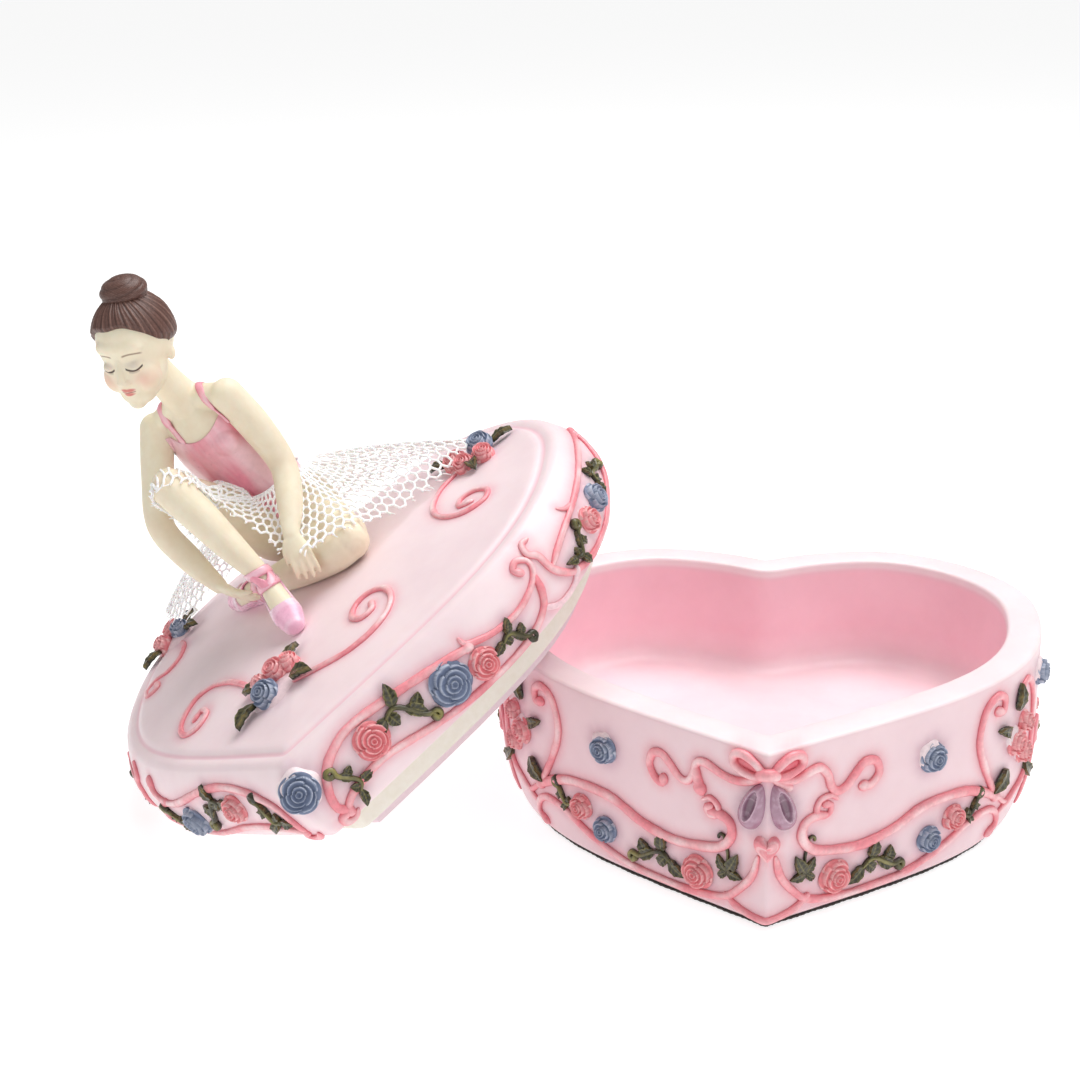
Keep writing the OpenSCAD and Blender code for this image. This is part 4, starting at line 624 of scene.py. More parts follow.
rows = []
def lrow(z, o): rows.append(ls(S_, z, o))
rows.append(np.c_[cen + (iloop(21, 0, 6)[:, :2] - cen) * 0.03, np.full(NC, 17.7)])
for k in (0.4, 0.8): rows.append(np.c_[cen + (iloop(21, 0, 6)[:, :2] - cen) * k, np.full(NC, 17.7)])
rows.append(iloop(21, 17.7)); rows.append(iloop(21, 5.0)); rows.append(iloop(9.5, 5.0)); rows.append(iloop(9.5, 0.0)); 
n_u = len(rows)
lrow(0.0, -1.0); lrow(0.12, -0.5); lrow(0.42, -0.12); lrow(1.0, 0.0)
for z in np.arange(1.7, 19.6, 0.7): lrow(z, 0.0)
n_side0 = len(rows)
for z in (19.8, 20.3, 20.8, 21.2): lrow(z, 0.0)
edge = smooth_outline(S_, 2.6) * 0.972
for k, dz in ((0.985, 0.05), (0.970, 0.02), (0.958, -0.18), (0.948, -0.40), (0.940, -0.36), (0.932, -0.02), (0.922, 0.28), (0.908, 0.36), (0.89, 0.26), (0.86, 0.12)):
    q = edge * k; rows.append(np.c_[q, topz(q[:, 0], q[:, 1]) + dz])
n_top = len(rows)
for k in np.linspace(0.83, 0.02, 44):
    q = edge * k; rows.append(np.c_[q, topz(q[:, 0], q[:, 1])])
V = np.vstack(rows); nr = len(rows)
F_ = grid_faces(nr, NC, True); F_.append(tuple(range(NC - 1, -1, -1))); F_.append(tuple((nr - 1) * NC + c for c in range(NC)))
C = np.repeat((PINK_C * 0.5 + PINK_HI * 0.5)[None], len(V), 0); idx = np.repeat(np.arange(nr), NC)
# the deepest rows of the groove round the top are darkened pinker as painted shade
groove = np.isin(idx, [n_side0 + 4 + 3, n_side0 + 4 + 4]); C[groove] = C[groove] * 0.6 + np.array(lin((244, 178, 194))) * 0.4
sel = idx >= n_u
# the lid's wall close to its scrollwork, roses and leaves is darkened and tinted as painted shade
C[sel] = shade_round_ornament(V[sel], C[sel], [(np.vstack(lscroll.v)[::5], np.array(lin((240, 176, 188))), 1.9, 0.5), (np.vstack(lroses.v + lleaves.v)[::6], np.array(lin((206, 164, 182))), 2.0, 0.36)])
o = make_mesh("lid_casting_cast", L2R(V), F_, RESIN, "lid", C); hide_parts("lid_casting")
for bag in (lscroll, lroses, lleaves): bag.v = [L2R(v) for v in bag.v]
o = lscroll.make("lid_scrollwork_cast", CORAL, "lid", "coral_paint"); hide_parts("lid_scrollwork")
o = lroses.make("lid_roses_cast", ROSE, "lid", "rose_paint"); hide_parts("lid_roses")
o = lleaves.make("lid_leaves_cast", LEAF, "lid", "leaf_paint"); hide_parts("lid_leaves")

# cream locating ring
CREAM, nt, p = nodes_of("cream_resin"); v = coords(nt); n1, n2 = noise(nt, v, 0.5, 5, 0.6), noise(nt, v, 3.0, 4, 0.6)
nt.links.new(mixc(nt, ramp(nt, n1, 0.3, 0.75), lin((240, 237, 226)), lin((233, 229, 214))), p.inputs["Base Color"]); nt.links.new(maprange(nt, n2, 0.3, 0.7, 0.42, 0.62), p.inputs["Roughness"]); setp(p, spec=0.35, sss=0.04, sss_scale=0.002); bump(nt, p, n2, 0.15, 0.08 * MM)
rows = [iloop(9.6, 4.9), iloop(9.6, -0.1), iloop(9.65, -4), iloop(9.7, -8.0), iloop(9.85, -8.8), iloop(10.3, -9.1), iloop(11.0, -9.2), iloop(20.0, -9.2), iloop(20.8, -9.0), iloop(21.0, -8.2), iloop(21, 0), iloop(21, 4.9)]
V = np.vstack(rows); nr = len(rows); F_ = grid_faces(nr, NC, True, flip=True) + [((nr - 1) * NC + c, c, (c + 1) % NC, (nr - 1) * NC + (c + 1) % NC)[::-1] for c in range(NC)]
o = make_mesh("lid_locating_ring_cast", L2R(V), F_, CREAM, "lid"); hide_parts("lid_locating_ring")

# ------------------------------------------------------------------ the dancer, in the lid's own frame
def unit(v): v = np.asarray(v, float); return v / (np.linalg.norm(v) + 1e-12)
U_I, R_I, V_C = unit((0.4676, 0.4901, 0.7356)), unit((0.826, 0.0545, -0.561)), unit((0.313, -0.87, 0.38))

def limb_loft(pts, ra, rb, ref, sides=24, step=1.0):
    """Closed rounded limb through pts, half widths ra along ref and rb across it."""
    P5 = np.c_[np.asarray(pts, float), ra, rb]
    q = catmull(P5, step); c, a_, b_ = q[:, :3], q[:, 3], q[:, 4]
    d = np.gradient(c, axis=0); d /= np.linalg.norm(d, axis=1)[:, None] + 1e-9
    ref = np.broadcast_to(np.asarray(ref, float), c.shape)
    x = ref - (ref * d).sum(1)[:, None] * d; x /= np.linalg.norm(x, axis=1)[:, None] + 1e-9
    y = np.cross(d, x); th_ = np.linspace(0, 2 * np.pi, sides, endpoint=False)
    ring = lambda i, s, off: c[i] + d[i] * off + s * (a_[i] * np.cos(th_)[:, None] * x[i] + b_[i] * np.sin(th_)[:, None] * y[i])
    rows = []
    for e in (80, 60, 38, 18): rows.append(ring(0, math.cos(math.radians(e)), -min(a_[0], b_[0]) * math.sin(math.radians(e))))
    rows += [ring(i, 1, 0) for i in range(len(c))]
    for e in (18, 38, 60, 80): rows.append(ring(-1, math.cos(math.radians(e)), min(a_[-1], b_[-1]) * math.sin(math.radians(e))))
    n = len(rows); f = grid_faces(n, sides, True) + [tuple(range(sides - 1, -1, -1)), tuple((n - 1) * sides + k for k in range(sides))]
    return np.vstack(rows), f

def ellipsoid(c, ax, r, nu=28, nv=20):
    u, v = np.meshgrid(np.linspace(0, 2 * np.pi, nu, endpoint=False), np.linspace(0.02, np.pi - 0.02, nv), indexing="xy")
    p = np.stack([r[0] * np.sin(v) * np.cos(u), r[1] * np.sin(v) * np.sin(u), r[2] * np.cos(v)], -1).reshape(-1, 3) @ np.asarray(ax)
    f = grid_faces(nv, nu, True) + [tuple(range(nu - 1, -1, -1)), tuple((nv - 1) * nu + k for k in range(nu))]
    return p + np.asarray(c, float), f

def fuse(parts, voxel, it=5, fac=0.5):
    """Union of closed shapes, blended by a voxel remesh and smoothing; returns vertices, normals, triangles in millimetres."""
    V, F, n = [], [], 0
    for v, f in parts:
        V.append(v); F += [tuple(int(i) + n for i in q) for q in f]; n += len(v)
    me = bpy.data.meshes.new("tmp"); me.from_pydata([tuple(v) for v in np.vstack(V) * MM], [], F); me.validate()
    bm = bmesh.new(); bm.from_mesh(me); bmesh.ops.recalc_face_normals(bm, faces=bm.faces); bm.to_mesh(me); bm.free()
    o = bpy.data.objects.new("tmp", me); scene.collection.objects.link(o)
    m1 = o.modifiers.new("r", "REMESH"); m1.mode = "VOXEL"; m1.voxel_size = voxel * MM; m1.adaptivity = 0
    if it: m2 = o.modifiers.new("s", "SMOOTH"); m2.factor = fac; m2.iterations = it
    dg = bpy.context.evaluated_depsgraph_get(); dg.update()
    me2 = bpy.data.meshes.new_from_object(o.evaluated_get(dg)); me2.calc_loop_triangles()
    n = len(me2.vertices); v = np.empty(n * 3, np.float32); me2.vertices.foreach_get("co", v)
    t = np.empty(len(me2.loop_triangles) * 3, np.int32); me2.loop_triangles.foreach_get("vertices", t)
    bpy.data.objects.remove(o); bpy.data.meshes.remove(me); bpy.data.meshes.remove(me2)
    v = v.reshape(-1, 3).astype(float) / MM; t = t.reshape(-1, 3)
    return v, normals(v, t), t

def normals(v, t):
    n = np.zeros_like(v); fn = np.cross(v[t[:, 1]] - v[t[:, 0]], v[t[:, 2]] - v[t[:, 0]])
    for k in range(3): np.add.at(n, t[:, k], fn)
    return n / (np.linalg.norm(n, axis=1)[:, None] + 1e-12)

def trim(X, T, m):
    """Keep the part of a triangle mesh where m > 0, cut cleanly along m = 0."""
    ins = m[T] > 0; k = ins.sum(1); keep = T[k == 3]; out = [tuple(r) for r in keep]; new, cache = [], {}
    base = len(X)
    def cutv(a, b):
        key = (a, b) if a < b else (b, a)
        if key not in cache:
            a, b = key; w = m[a] / (m[a] - m[b]); w = min(max(w, 0.02), 0.98); new.append(X[a] * (1 - w) + X[b] * w); cache[key] = base + len(new) - 1
        return cache[key]
    for tri, i3 in zip(T[(k > 0) & (k < 3)], ins[(k > 0) & (k < 3)]):
        poly = []
        for j in range(3):
            a, b = int(tri[j]), int(tri[(j + 1) % 3])
            if i3[j]: poly.append(a)
            if i3[j] != i3[(j + 1) % 3]: poly.append(cutv(a, b))
        if len(poly) == 3: out.append(tuple(poly))
        elif len(poly) == 4: out += [(poly[0], poly[1], poly[2]), (poly[0], poly[2], poly[3])]
    XX = np.vstack([X] + ([np.array(new)] if new else [])); T2 = np.array(out, int)
    used, inv = np.unique(T2, return_inverse=True)
    return XX[used], inv.reshape(-1, 3)

def shell(V, N, T, t_out, t_in=-0.2):
    """A thin closed skin over a surface patch."""
    n = len(V); a = V + N * np.asarray(t_out).reshape(-1, 1) if np.ndim(t_out) else V + N * t_out; b = V + N * t_in
    E = {}
    for tr in T:
        for j in range(3): E[(tr[j], tr[(j + 1) % 3])] = True
    rim = [(i, j) for (i, j) in E if (j, i) not in E]
    f = [tuple(t) for t in T] + [tuple(x + n for x in t[::-1]) for t in T] + [(j, i, i + n, j + n) for i, j in rim]
    return np.vstack([a, b]), f

HC = np.array([-4.6, 18.6, 109.0]) - 4.3 * U_I + 1.8 * R_I
H_U = unit(0.85 * U_I + 0.48 * V_C - 0.20 * R_I)
H_F = 0.74 * V_C - 0.25 * R_I - 0.53 * U_I; H_F = unit(H_F - (H_F @ H_U) * H_U); H_S = np.cross(H_F, H_U)
HAX = np.array([H_S, H_F, H_U])
def hd(s, f, u): return HC + s * H_S + f * H_F + u * H_U
HSC = 1.05
_hd0 = hd
def hd(s, f, u): return _hd0(s * HSC, f * HSC, u * HSC)
_ell = ellipsoid
def hell(c, ax, r): return _ell(c, ax, tuple(k * HSC for k in r))
head = [hell(hd(0, -0.8, 1.8), HAX, (9.3, 11.0, 10.4)), hell(hd(0, 2.4, -4.2), HAX, (7.5, 8.0, 9.6)), hell(hd(0, 4.8, -10.4), HAX, (4.9, 4.5, 3.7)), hell(hd(0, 6.9, -12.6), HAX, (2.4, 2.2, 1.9)),
        hell(hd(0, 7.0, 2.6), HAX, (6.6, 3.4, 3.4))]
for m_ in (1, -1):
    head += [hell(hd(4.1 * m_, 5.6, -6.0), HAX, (3.4, 3.9, 4.2)), hell(hd(3.5 * m_, 7.7, -2.3), HAX, (2.2, 2.1, 1.75)), hell(hd(1.0 * m_, 10.3, -6.0), HAX, (0.95, 0.9, 0.75)),
             hell(hd(8.5 * m_, -1.0, -3.0), HAX, (1.0, 1.6, 2.4)), hell(hd(8.9 * m_, -0.8, -2.8), HAX, (0.7, 1.0, 1.7))]
head += [limb_loft([hd(0, 9.0, 1.0), hd(0, 9.9, -2.0), hd(0, 10.9, -4.6), hd(0, 11.3, -5.6)], [1.1, 0.95, 1.1, 1.15], [1.0, 0.9, 1.0, 0.95], H_S, 16, 0.4),
         limb_loft([hd(-2.1, 8.9, -8.5), hd(-0.9, 9.5, -8.15), hd(0, 9.7, -8.3), hd(0.9, 9.5, -8.15), hd(2.1, 8.9, -8.5)], [0.35, 0.62, 0.6, 0.62, 0.35], [0.4, 0.6, 0.6, 0.6, 0.4], H_U, 12, 0.3),
         limb_loft([hd(-1.8, 8.8, -9.0), hd(0, 9.4, -9.4), hd(1.8, 8.8, -9.0)], [0.4, 0.75, 0.4], [0.4, 0.7, 0.4], H_U, 12, 0.3)]
NECK0, NECK1 = np.array([-7.2, 22.4, 82.0]), hd(0, -3.2, -7.5)
BW_ = unit((25, -5, -2))
body = [limb_loft([NECK0, NECK0 * 0.45 + NECK1 * 0.55, NECK1], [5.6, 4.7, 4.6], [5.4, 4.6, 4.7], BW_)]
body += [limb_loft([(-5.5, 29.5, 33), (-5.6, 29.0, 42), (-8.2, 26.6, 52), (-9.0, 24.6, 61), (-8.9, 23.2, 70), (-8.0, 22.6, 77), (-7.3, 22.6, 81.5)],
                   [12.6, 12.4, 11.4, 11.2, 11.4, 10.6, 7.4], [9.6, 9.0, 7.2, 7.0, 7.2, 6.2, 4.8], BW_)]
body += [limb_loft([(-19.2, 23.4, 80.6), (-13, 23, 82.6), (-7.2, 22.6, 83.6), (-1.5, 21, 82), (4.6, 18.6, 79.4)], [3.9, 3.6, 4.2, 3.6, 3.9], [4.0, 3.7, 4.2, 3.7, 4.0], (0, 0, 1))]
for m_ in (1, -1): body += [ellipsoid(np.array([-7.6, 18.6, 69.5]) + m_ * 3.9 * BW_, np.eye(3), (4.0, 2.8, 3.8))]
ARM_R = [(5.2, 18.2, 79.8), (6.4, 17.4, 68), (6.4, 15.4, 56), (5.2, 7.0, 49), (3.4, -2.0, 43.6)]
ARM_L = [(-19.6, 23.0, 81.0), (-25.6, 16.2, 71), (-30.2, 8.4, 61.4), (-28.6, 5.4, 50), (-24.8, 1.4, 40.2)]
for A_, s_ in ((ARM_R, 1), (ARM_L, -1)):
    body += [limb_loft(A_, [4.7, 4.5, 3.8, 3.6, 2.25], [4.5, 4.4, 3.8, 3.3, 1.95], R_I)]
def hand(w, d, side, curl, s_=1):
    """Palm, four fingers and thumb; d runs to the fingertips, side across the knuckles, curl into the palm."""
    w = np.asarray(w, float); d = unit(d); side = np.asarray(side, float); side = unit(side - (side @ d) * d); nn = np.cross(d, side) * s_
    if nn @ np.asarray(curl, float) < 0: nn = -nn
    out = [limb_loft([w - d * 1.0, w + d * 2.0, w + d * 4.6, w + d * 6.2], [1.95, 2.6, 3.3, 3.1], [1.6, 1.5, 1.35, 1.1], side, 16, 0.5)]
    for k, (o, L) in enumerate(((-2.45, 5.6), (-0.85, 6.6), (0.8, 6.9), (2.4, 6.2))):
        b = w + d * 5.6 + side * o; e = d * 1.0 + side * o * 0.035
        out += [limb_loft([b, b + e * L * 0.4 + nn * 0.25, b + e * L * 0.75 + nn * 1.0, b + e * L + nn * 2.0], [0.86, 0.8, 0.74, 0.6], [0.86, 0.8, 0.74, 0.6], side, 12, 0.4)]
    b = w + d * 1.6 - side * 2.0
    out += [limb_loft([b, b + d * 2.2 - side * 1.3 + nn * 0.8, b + d * 5.0 - side * 1.7 + nn * 1.6], [1.1, 0.95, 0.7], [1.1, 0.95, 0.7], side, 12, 0.4)]
    return out
hands = hand((3.4, -2.0, 43.6), (0.3, -7.2, -9.2), (0.826, 0.05, -0.56), (-0.6, 0.5, -0.4)) + hand((-24.8, 1.4, 40.2), (7.6, -5.8, -6.4), (0.1, -0.6, 0.8), (0.4, 0.5, -0.3))
LEG_L = [(-12.5, 25.0, 37), (-15.6, 16, 51), (-18.0, 6.4, 66), (-17.6, 2.4, 71.0), (-14.6, -0.8, 62), (-11.4, -4.6, 51), (-8.0, -8.0, 39.4)]
LEG_R = [(-3.0, 31.0, 36.5), (4.0, 20.0, 35.4), (11.0, 7.0, 33.6), (14.0, 1.2, 32.4), (8.0, 0.0, 32.0), (-6.0, 4.6, 31.6), (-20.0, 9.0, 31.4)]
thigh_r = [8.6, 7.6, 5.6]
body += [limb_loft([LEG_L[0], LEG_L[1], LEG_L[2]], [8.6, 7.4, 5.4], [8.6, 7.4, 5.6], R_I), limb_loft([LEG_L[2], LEG_L[3], LEG_L[4], LEG_L[5], LEG_L[6]], [5.2, 5.0, 4.9, 4.1, 2.7], [5.2, 5.0, 5.3, 4.4, 2.9], R_I), ellipsoid((-18.2, 3.8, 69.6), np.eye(3), (5.0, 5.2, 4.6))]
body += [limb_loft(LEG_R[:4], [8.4, 7.8, 6.4, 5.4], [8.0, 7.2, 6.0, 5.4], (0, 0, 1)), limb_loft(LEG_R[3:], [5.2, 5.2, 4.8, 2.8], [5.2, 5.0, 4.8, 2.8], (0, 0, 1)), ellipsoid((11.6, 5.2, 33.0), np.eye(3), (6.6, 7.4, 6.2)), ellipsoid((5.0, 10.0, 33.0), np.eye(3), (9.0, 9.0, 6.6))]
AN_L, TO_L = np.array([-7.6, -9.0, 37.6]), np.array([-2.6, -22.2, 30.0])
AN_R, TO_R = np.array([-21.5, 9.2, 31.2]), np.array([-33.5, 17.0, 29.8])
def foot(an, to, upv):
    d = unit(to - an); upv = unit(upv - (upv @ d) * d); hl = an - d * 0.6 - upv * 3.2; L = np.linalg.norm(to - an)
    return [ellipsoid(hl, np.array([np.cross(upv, d), d, upv]), (2.9, 3.1, 3.2)), limb_loft([an, an + d * 3.2 - upv * 0.9, an + d * 0.55 * L - upv * 1.6, to - d * 4.2 - upv * 1.9, to - upv * 1.9], [2.8, 3.0, 3.5, 3.7, 2.6], [2.9, 3.1, 2.9, 2.5, 1.9], np.cross(upv, d), 20, 0.6),
            limb_loft([hl, hl + d * 0.5 * L, to - d * 3.0 - upv * 2.6], [2.7, 2.9, 3.0], [2.4, 2.2, 1.9], np.cross(upv, d), 16, 0.8)], d, upv, hl, L
footL, fdL, fuL, hlL, fLL = foot(AN_L, TO_L, np.array([0.2, -0.2, 0.95]))
footR, fdR, fuR, hlR, fLR = foot(AN_R, TO_R, np.array([-0.2, -0.5, 0.8]))
V, N, T = fuse(head + body + hands + footL + footR, 0.36, 5)

def segd(P, pts):
    """Distance to a polyline."""
    best = np.full(len(P), 1e9)
    for a, b in zip(np.asarray(pts[:-1], float), np.asarray(pts[1:], float)):
        ab = b - a; t = np.clip(((P - a) @ ab) / (ab @ ab), 0, 1); best = np.minimum(best, np.linalg.norm(P - a - t[:, None] * ab, axis=1))
    return best

SKIN = painted("skin_paint", mottle=0.05, mscale=0.25, rough=(0.42, 0.58), bumps=((2.2, 0.12, 0.05),), tint=(1.0, 0.97, 0.93), spec=0.35, sss=0.12, sss_scale=0.0025)
S_C, S_HI, S_BL = np.array(lin((241, 232, 208))), np.array(lin((250, 243, 222))), np.array(lin((238, 186, 164)))
def skin_col(P, Nn):
    c = np.repeat(S_C[None], len(P), 0)
    for q, r, k in (((14.2, 1.0, 32.6), 5, 0.25), ((-18, 2.4, 71), 5, 0.22), ((6.4, 15.4, 56), 4, 0.22), ((-30.2, 8.4, 61.4), 4, 0.22), ((3.4, -9, 34), 4, 0.18)):
        w = (np.exp(-(np.linalg.norm(P - np.array(q), axis=1) / r) ** 2) * k)[:, None]; c = c * (1 - w) + S_BL * w
    h = (P - HC) @ HAX.T / HSC; s, f, u = h[:, 0], h[:, 1], h[:, 2]; front = (f > 3.5) & (np.abs(s) < 9) & (np.abs(u) < 15)
    a = np.abs(s)
    def put(c, w, col): w = (np.clip(w, 0, 1) * front)[:, None]; return c * (1 - w) + np.array(lin(col)) * w
    c = put(c, np.exp(-(((a - 5.2) / 2.4) ** 2 + ((u + 5.8) / 2.2) ** 2)) * 0.38, (236, 150, 138))                        # blush
    c = put(c, np.exp(-(((a - 3.6) / 1.9) ** 2 + ((u + 1.5) / 1.0) ** 2) ** 2) * 0.30, (190, 176, 186))                     # lid
    lash = -2.75 - 0.26 * ((a - 3.5) / 1.2) ** 2 * -1.0
    lash = -3.05 + 0.20 * (a - 3.5) ** 2
    c = put(c, np.clip(1.6 - np.abs(u - lash) / 0.22, 0, 1) * (np.abs(a - 3.55) < 2.0), (58, 40, 36))                        # lowered lashes
    c = put(c, np.clip(1.4 - np.abs(u - lash + 0.42) / 0.34, 0, 1) * (np.abs(a - 3.5) < 1.3) * 0.35, (120, 96, 84))
    brow = 1.15 - 0.085 * (a - 3.2) ** 2 + 0.05 * a
    c = put(c, np.clip(1.5 - np.abs(u - brow) / 0.24, 0, 1) * np.clip((2.4 - np.abs(a - 3.7)) * 2, 0, 1) * 0.75, (120, 88, 72))  # brows
    up_ = np.clip(1.4 - (((a - 0.75) / 1.25) ** 2 + ((u + 8.15) / 0.45) ** 2), 0, 1); lo_ = np.clip(1.4 - ((a / 1.55) ** 2 + ((u + 9.3) / 0.5) ** 2), 0, 1)
    c = put(c, np.maximum(up_, lo_) * 0.85, (214, 112, 112))                                                                # lips
    c = put(c, np.clip(1.3 - np.abs(u + 8.75) / 0.13, 0, 1) * (a < 1.9), (150, 66, 66))
    return c
# finer triangles over the face, so that its paint is sharp
h = (V - HC) @ HAX.T / HSC; face_v = (h[:, 1] > 5.0) & (np.abs(h[:, 0]) < 7) & (h[:, 2] > -12) & (h[:, 2] < 4.5)
me = bpy.data.meshes.new("tmpf"); me.from_pydata([tuple(v) for v in V], [], [tuple(int(i) for i in t) for t in T])
bm = bmesh.new(); bm.from_mesh(me); bm.verts.ensure_lookup_table()
ed = [e for e in bm.edges if face_v[e.verts[0].index] and face_v[e.verts[1].index]]
bmesh.ops.subdivide_edges(bm, edges=ed, cuts=2, use_grid_fill=True, smooth=0.0); bmesh.ops.triangulate(bm, faces=bm.faces)
bm.to_mesh(me); bm.free(); me.calc_loop_triangles()
VF = np.empty(len(me.vertices) * 3, np.float32); me.vertices.foreach_get("co", VF); VF = VF.reshape(-1, 3).astype(float)
TF = np.empty(len(me.loop_triangles) * 3, np.int32); me.loop_triangles.foreach_get("vertices", TF); TF = TF.reshape(-1, 3); bpy.data.meshes.remove(me)
o = make_mesh("figure_skin_cast", L2R(VF), TF, SKIN, "lid", skin_col(VF, None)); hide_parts("figure_skin")

# leotard: cut from the body's own surface, with a scooped neck and two straps
LEO = painted("leotard_paint", mottle=0.10, mscale=0.5, rough=(0.26, 0.42), bumps=((1.6, 0.3, 0.10),), spec=0.5, coat=0.25, coat_rough=0.25)
TOR = [(-8.5, 28.5, 30), (-9.0, 27, 48), (-9.0, 23.8, 66), (-7.6, 22.8, 84)]
dT = segd(V, TOR) / 10.8
dO = np.minimum.reduce([segd(V, ARM_R) / 4.6, segd(V, ARM_L) / 4.6, segd(V, LEG_L[:4]) / 9.0, segd(V, LEG_R[:4]) / 9.4, segd(V, [NECK0, NECK1]) / 5.2, np.linalg.norm(V - HC, axis=1) / 11.5])
uu = (V - np.array([-7.3, 22.8, 70])) @ BW_
frontness = (V - np.array([-7.3, 23.5, 70])) @ unit((-0.2, -1, 0))
zn = np.where(frontness > 0, 73.6 + 0.05 * uu ** 2, 74.5 + 0.03 * uu ** 2)
m = np.minimum((dO - dT) * 6.0, (zn - V[:, 2]) * 0.8); m = np.minimum(m, (V[:, 2] - 33.0))
X, T2 = trim(np.c_[V, N], T, m); LV, LN = X[:, :3], X[:, 3:] / np.linalg.norm(X[:, 3:], axis=1)[:, None]
sv, sf = shell(LV, LN, T2, 0.55)
lc0, lc1, lcd = np.array(lin((238, 144, 164))), np.array(lin((253, 220, 227))), np.array(lin((218, 106, 134)))
def leo_col(P):
    # lighter streaks of lc1 over the leotard are a painted sheen
    hi = np.clip(noise3(P, 0.11, (1, 1, 0.45)) * 1.5 - 0.5 + 0.22 * noise3(P, 0.7, (1, 1, 0.25)), 0, 0.8)[:, None]
    c = np.repeat(lc0[None], len(P), 0); return c * (1 - hi) + lc1 * hi
lb = Bag(); lb.add(sv, sf, leo_col(sv))
BV = BVHTree.FromPolygons([tuple(v) for v in V], [tuple(int(i) for i in t) for t in T])
def on_skin(P, off=0.3):
    out, nn = [], []
    for q in P:
        c, n_, i, d = BV.find_nearest(Vector(q)); out.append(np.array(c) + np.array(n_) * off); nn.append(np.array(n_))
    return np.array(out), np.array(nn)
def strap(s_):
    o_ = np.array([-7.3, 22.8, 0.0]); pts = [o_ + BW_ * 7.0 * s_ + np.array([0, -9, 74.0]), o_ + BW_ * 7.3 * s_ + np.array([0, -6, 80]), o_ + BW_ * 7.6 * s_ + np.array([0, -1, 88]), o_ + BW_ * 7.0 * s_ + np.array([0, 7, 82]), o_ + BW_ * 6.0 * s_ + np.array([0, 9, 75])]
    P, Nn = on_skin(catmull(pts, 0.5), 0.25)
    k = np.ones(13) / 13
    P = np.stack([np.convolve(np.pad(P[:, j], 6, mode="edge"), k, mode="valid") for j in range(3)], 1); return P, Nn
for s_ in (1, -1):
    P, Nn = strap(s_); bead(lb, P, Nn, 1.05, lc0, lc1, lcd, flat=0.32, sides=10, seed=4, ball=False, taper0=0.9, taper1=0.9)
o = lb.make("figure_leotard_paint", LEO, "lid", "leotard_paint"); o.data.transform(Matrix.Identity(4))
co = np.empty(len(o.data.vertices) * 3, np.float32); o.data.vertices.foreach_get("co", co); o.data.vertices.foreach_set("co", (L2R(co.reshape(-1, 3).astype(float) / MM) * MM).astype(np.float32).ravel()); o.data.update(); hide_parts("figure_leotard")

# satin slippers with crossed ribbons
SATIN = painted("slipper_satin", mottle=0.08, mscale=0.5, rough=(0.22, 0.36), bumps=((1.4, 0.22, 0.10),), spec=0.5, coat=0.35, coat_rough=0.2, sheen=0.3, sheen_rough=0.4)
sc0, sc1, scd = np.array(lin((246, 186, 212))), np.array(lin((255, 232, 242))), np.array(lin((232, 140, 178)))
sb = Bag()
for an, to, d, upv, hl, L, legpts in ((AN_L, TO_L, fdL, fuL, hlL, fLL, LEG_L[4:]), (AN_R, TO_R, fdR, fuR, hlR, fLR, LEG_R[4:])):
    q = V - hl; t_ = q @ d; h_ = q @ upv; w_ = q @ np.cross(upv, d)
    near = np.linalg.norm(V - (hl + np.clip(t_, 0, L)[:, None] * d), axis=1)
    opening = 3.4 - 1.5 * np.clip(t_, -3, 3) / 6 + 5.0 * np.clip((t_ - 0.58 * L) / 3.0, 0, 1)      # top line of the shoe
    m = np.minimum(opening - h_, (6.4 - near)); m = np.minimum(m, t_ + 4.5)
    dleg = segd(V, [p for p in legpts]); m = np.where((t_ < -2.6) & (h_ > 2.6), -1.0, m)
    X, T2 = trim(np.c_[V, N], T, m); SV, SN = X[:, :3], X[:, 3:] / np.linalg.norm(X[:, 3:], axis=1)[:, None]
    sv, sf = shell(SV, SN, T2, 0.5)
    # lighter streaks of sc1 along the shoe are a painted sheen
    qq = sv - hl; tt_ = qq @ d; hi = np.clip(noise1(tt_ * 0.55 + (qq @ upv) * 0.3, 2) * 1.4 - 0.45, 0, 0.8)[:, None]; c = sc0 * (1 - hi) + sc1 * hi
    sb.add(sv, sf, c)
    side = np.cross(upv, d)
    for k_, (a0, a1, t0, t1, hh) in enumerate(((-1, 1, 1.0, 5.0, 7.0), (1, -1, 0.4, 5.4, 7.2))):
        th_ = np.linspace(0, 1, 20)
        pts = hl + np.outer(t0 + (t1 - t0) * np.sin(np.pi * th_) * 0.6, d) + np.outer(2.5 + (hh - 2.5) * np.sin(np.pi * th_ * 0.5) ** 0.8, upv) + np.outer(3.8 * (a0 + (a1 - a0) * th_), side)
        P, Nn = on_skin(pts, 0.4); k = np.ones(5) / 5
        P = np.stack([np.convolve(np.pad(P[:, j], 2, mode="edge"), k, mode="valid") for j in range(3)], 1)
        bead(sb, P, Nn, 1.25, np.array(lin((242, 158, 178))), sc1, scd, flat=0.28, sides=10, seed=k_, ball=False, taper0=0.8)
    ank = np.array(legpts[-1]); ld = unit(ank - np.array(legpts[-2])); a1_ = unit(np.cross(ld, side)); th_ = np.linspace(0, 2 * np.pi, 44)
    for dz in (0.4,):
        pts = ank - ld * (1.0 + dz) + np.outer(np.cos(th_), side) * 4.2 + np.outer(np.sin(th_), a1_) * 4.2
        P, Nn = on_skin(pts, 0.35); bead(sb, P, Nn, 1.3, np.array(lin((242, 158, 178))), sc1, scd, flat=0.26, sides=10, seed=3, ball=False, taper0=1.0)
sb.v = [L2R(v) for v in sb.v]
o = sb.make("figure_slippers_satin", SATIN, "lid", "slipper_paint"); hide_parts("figure_slippers")

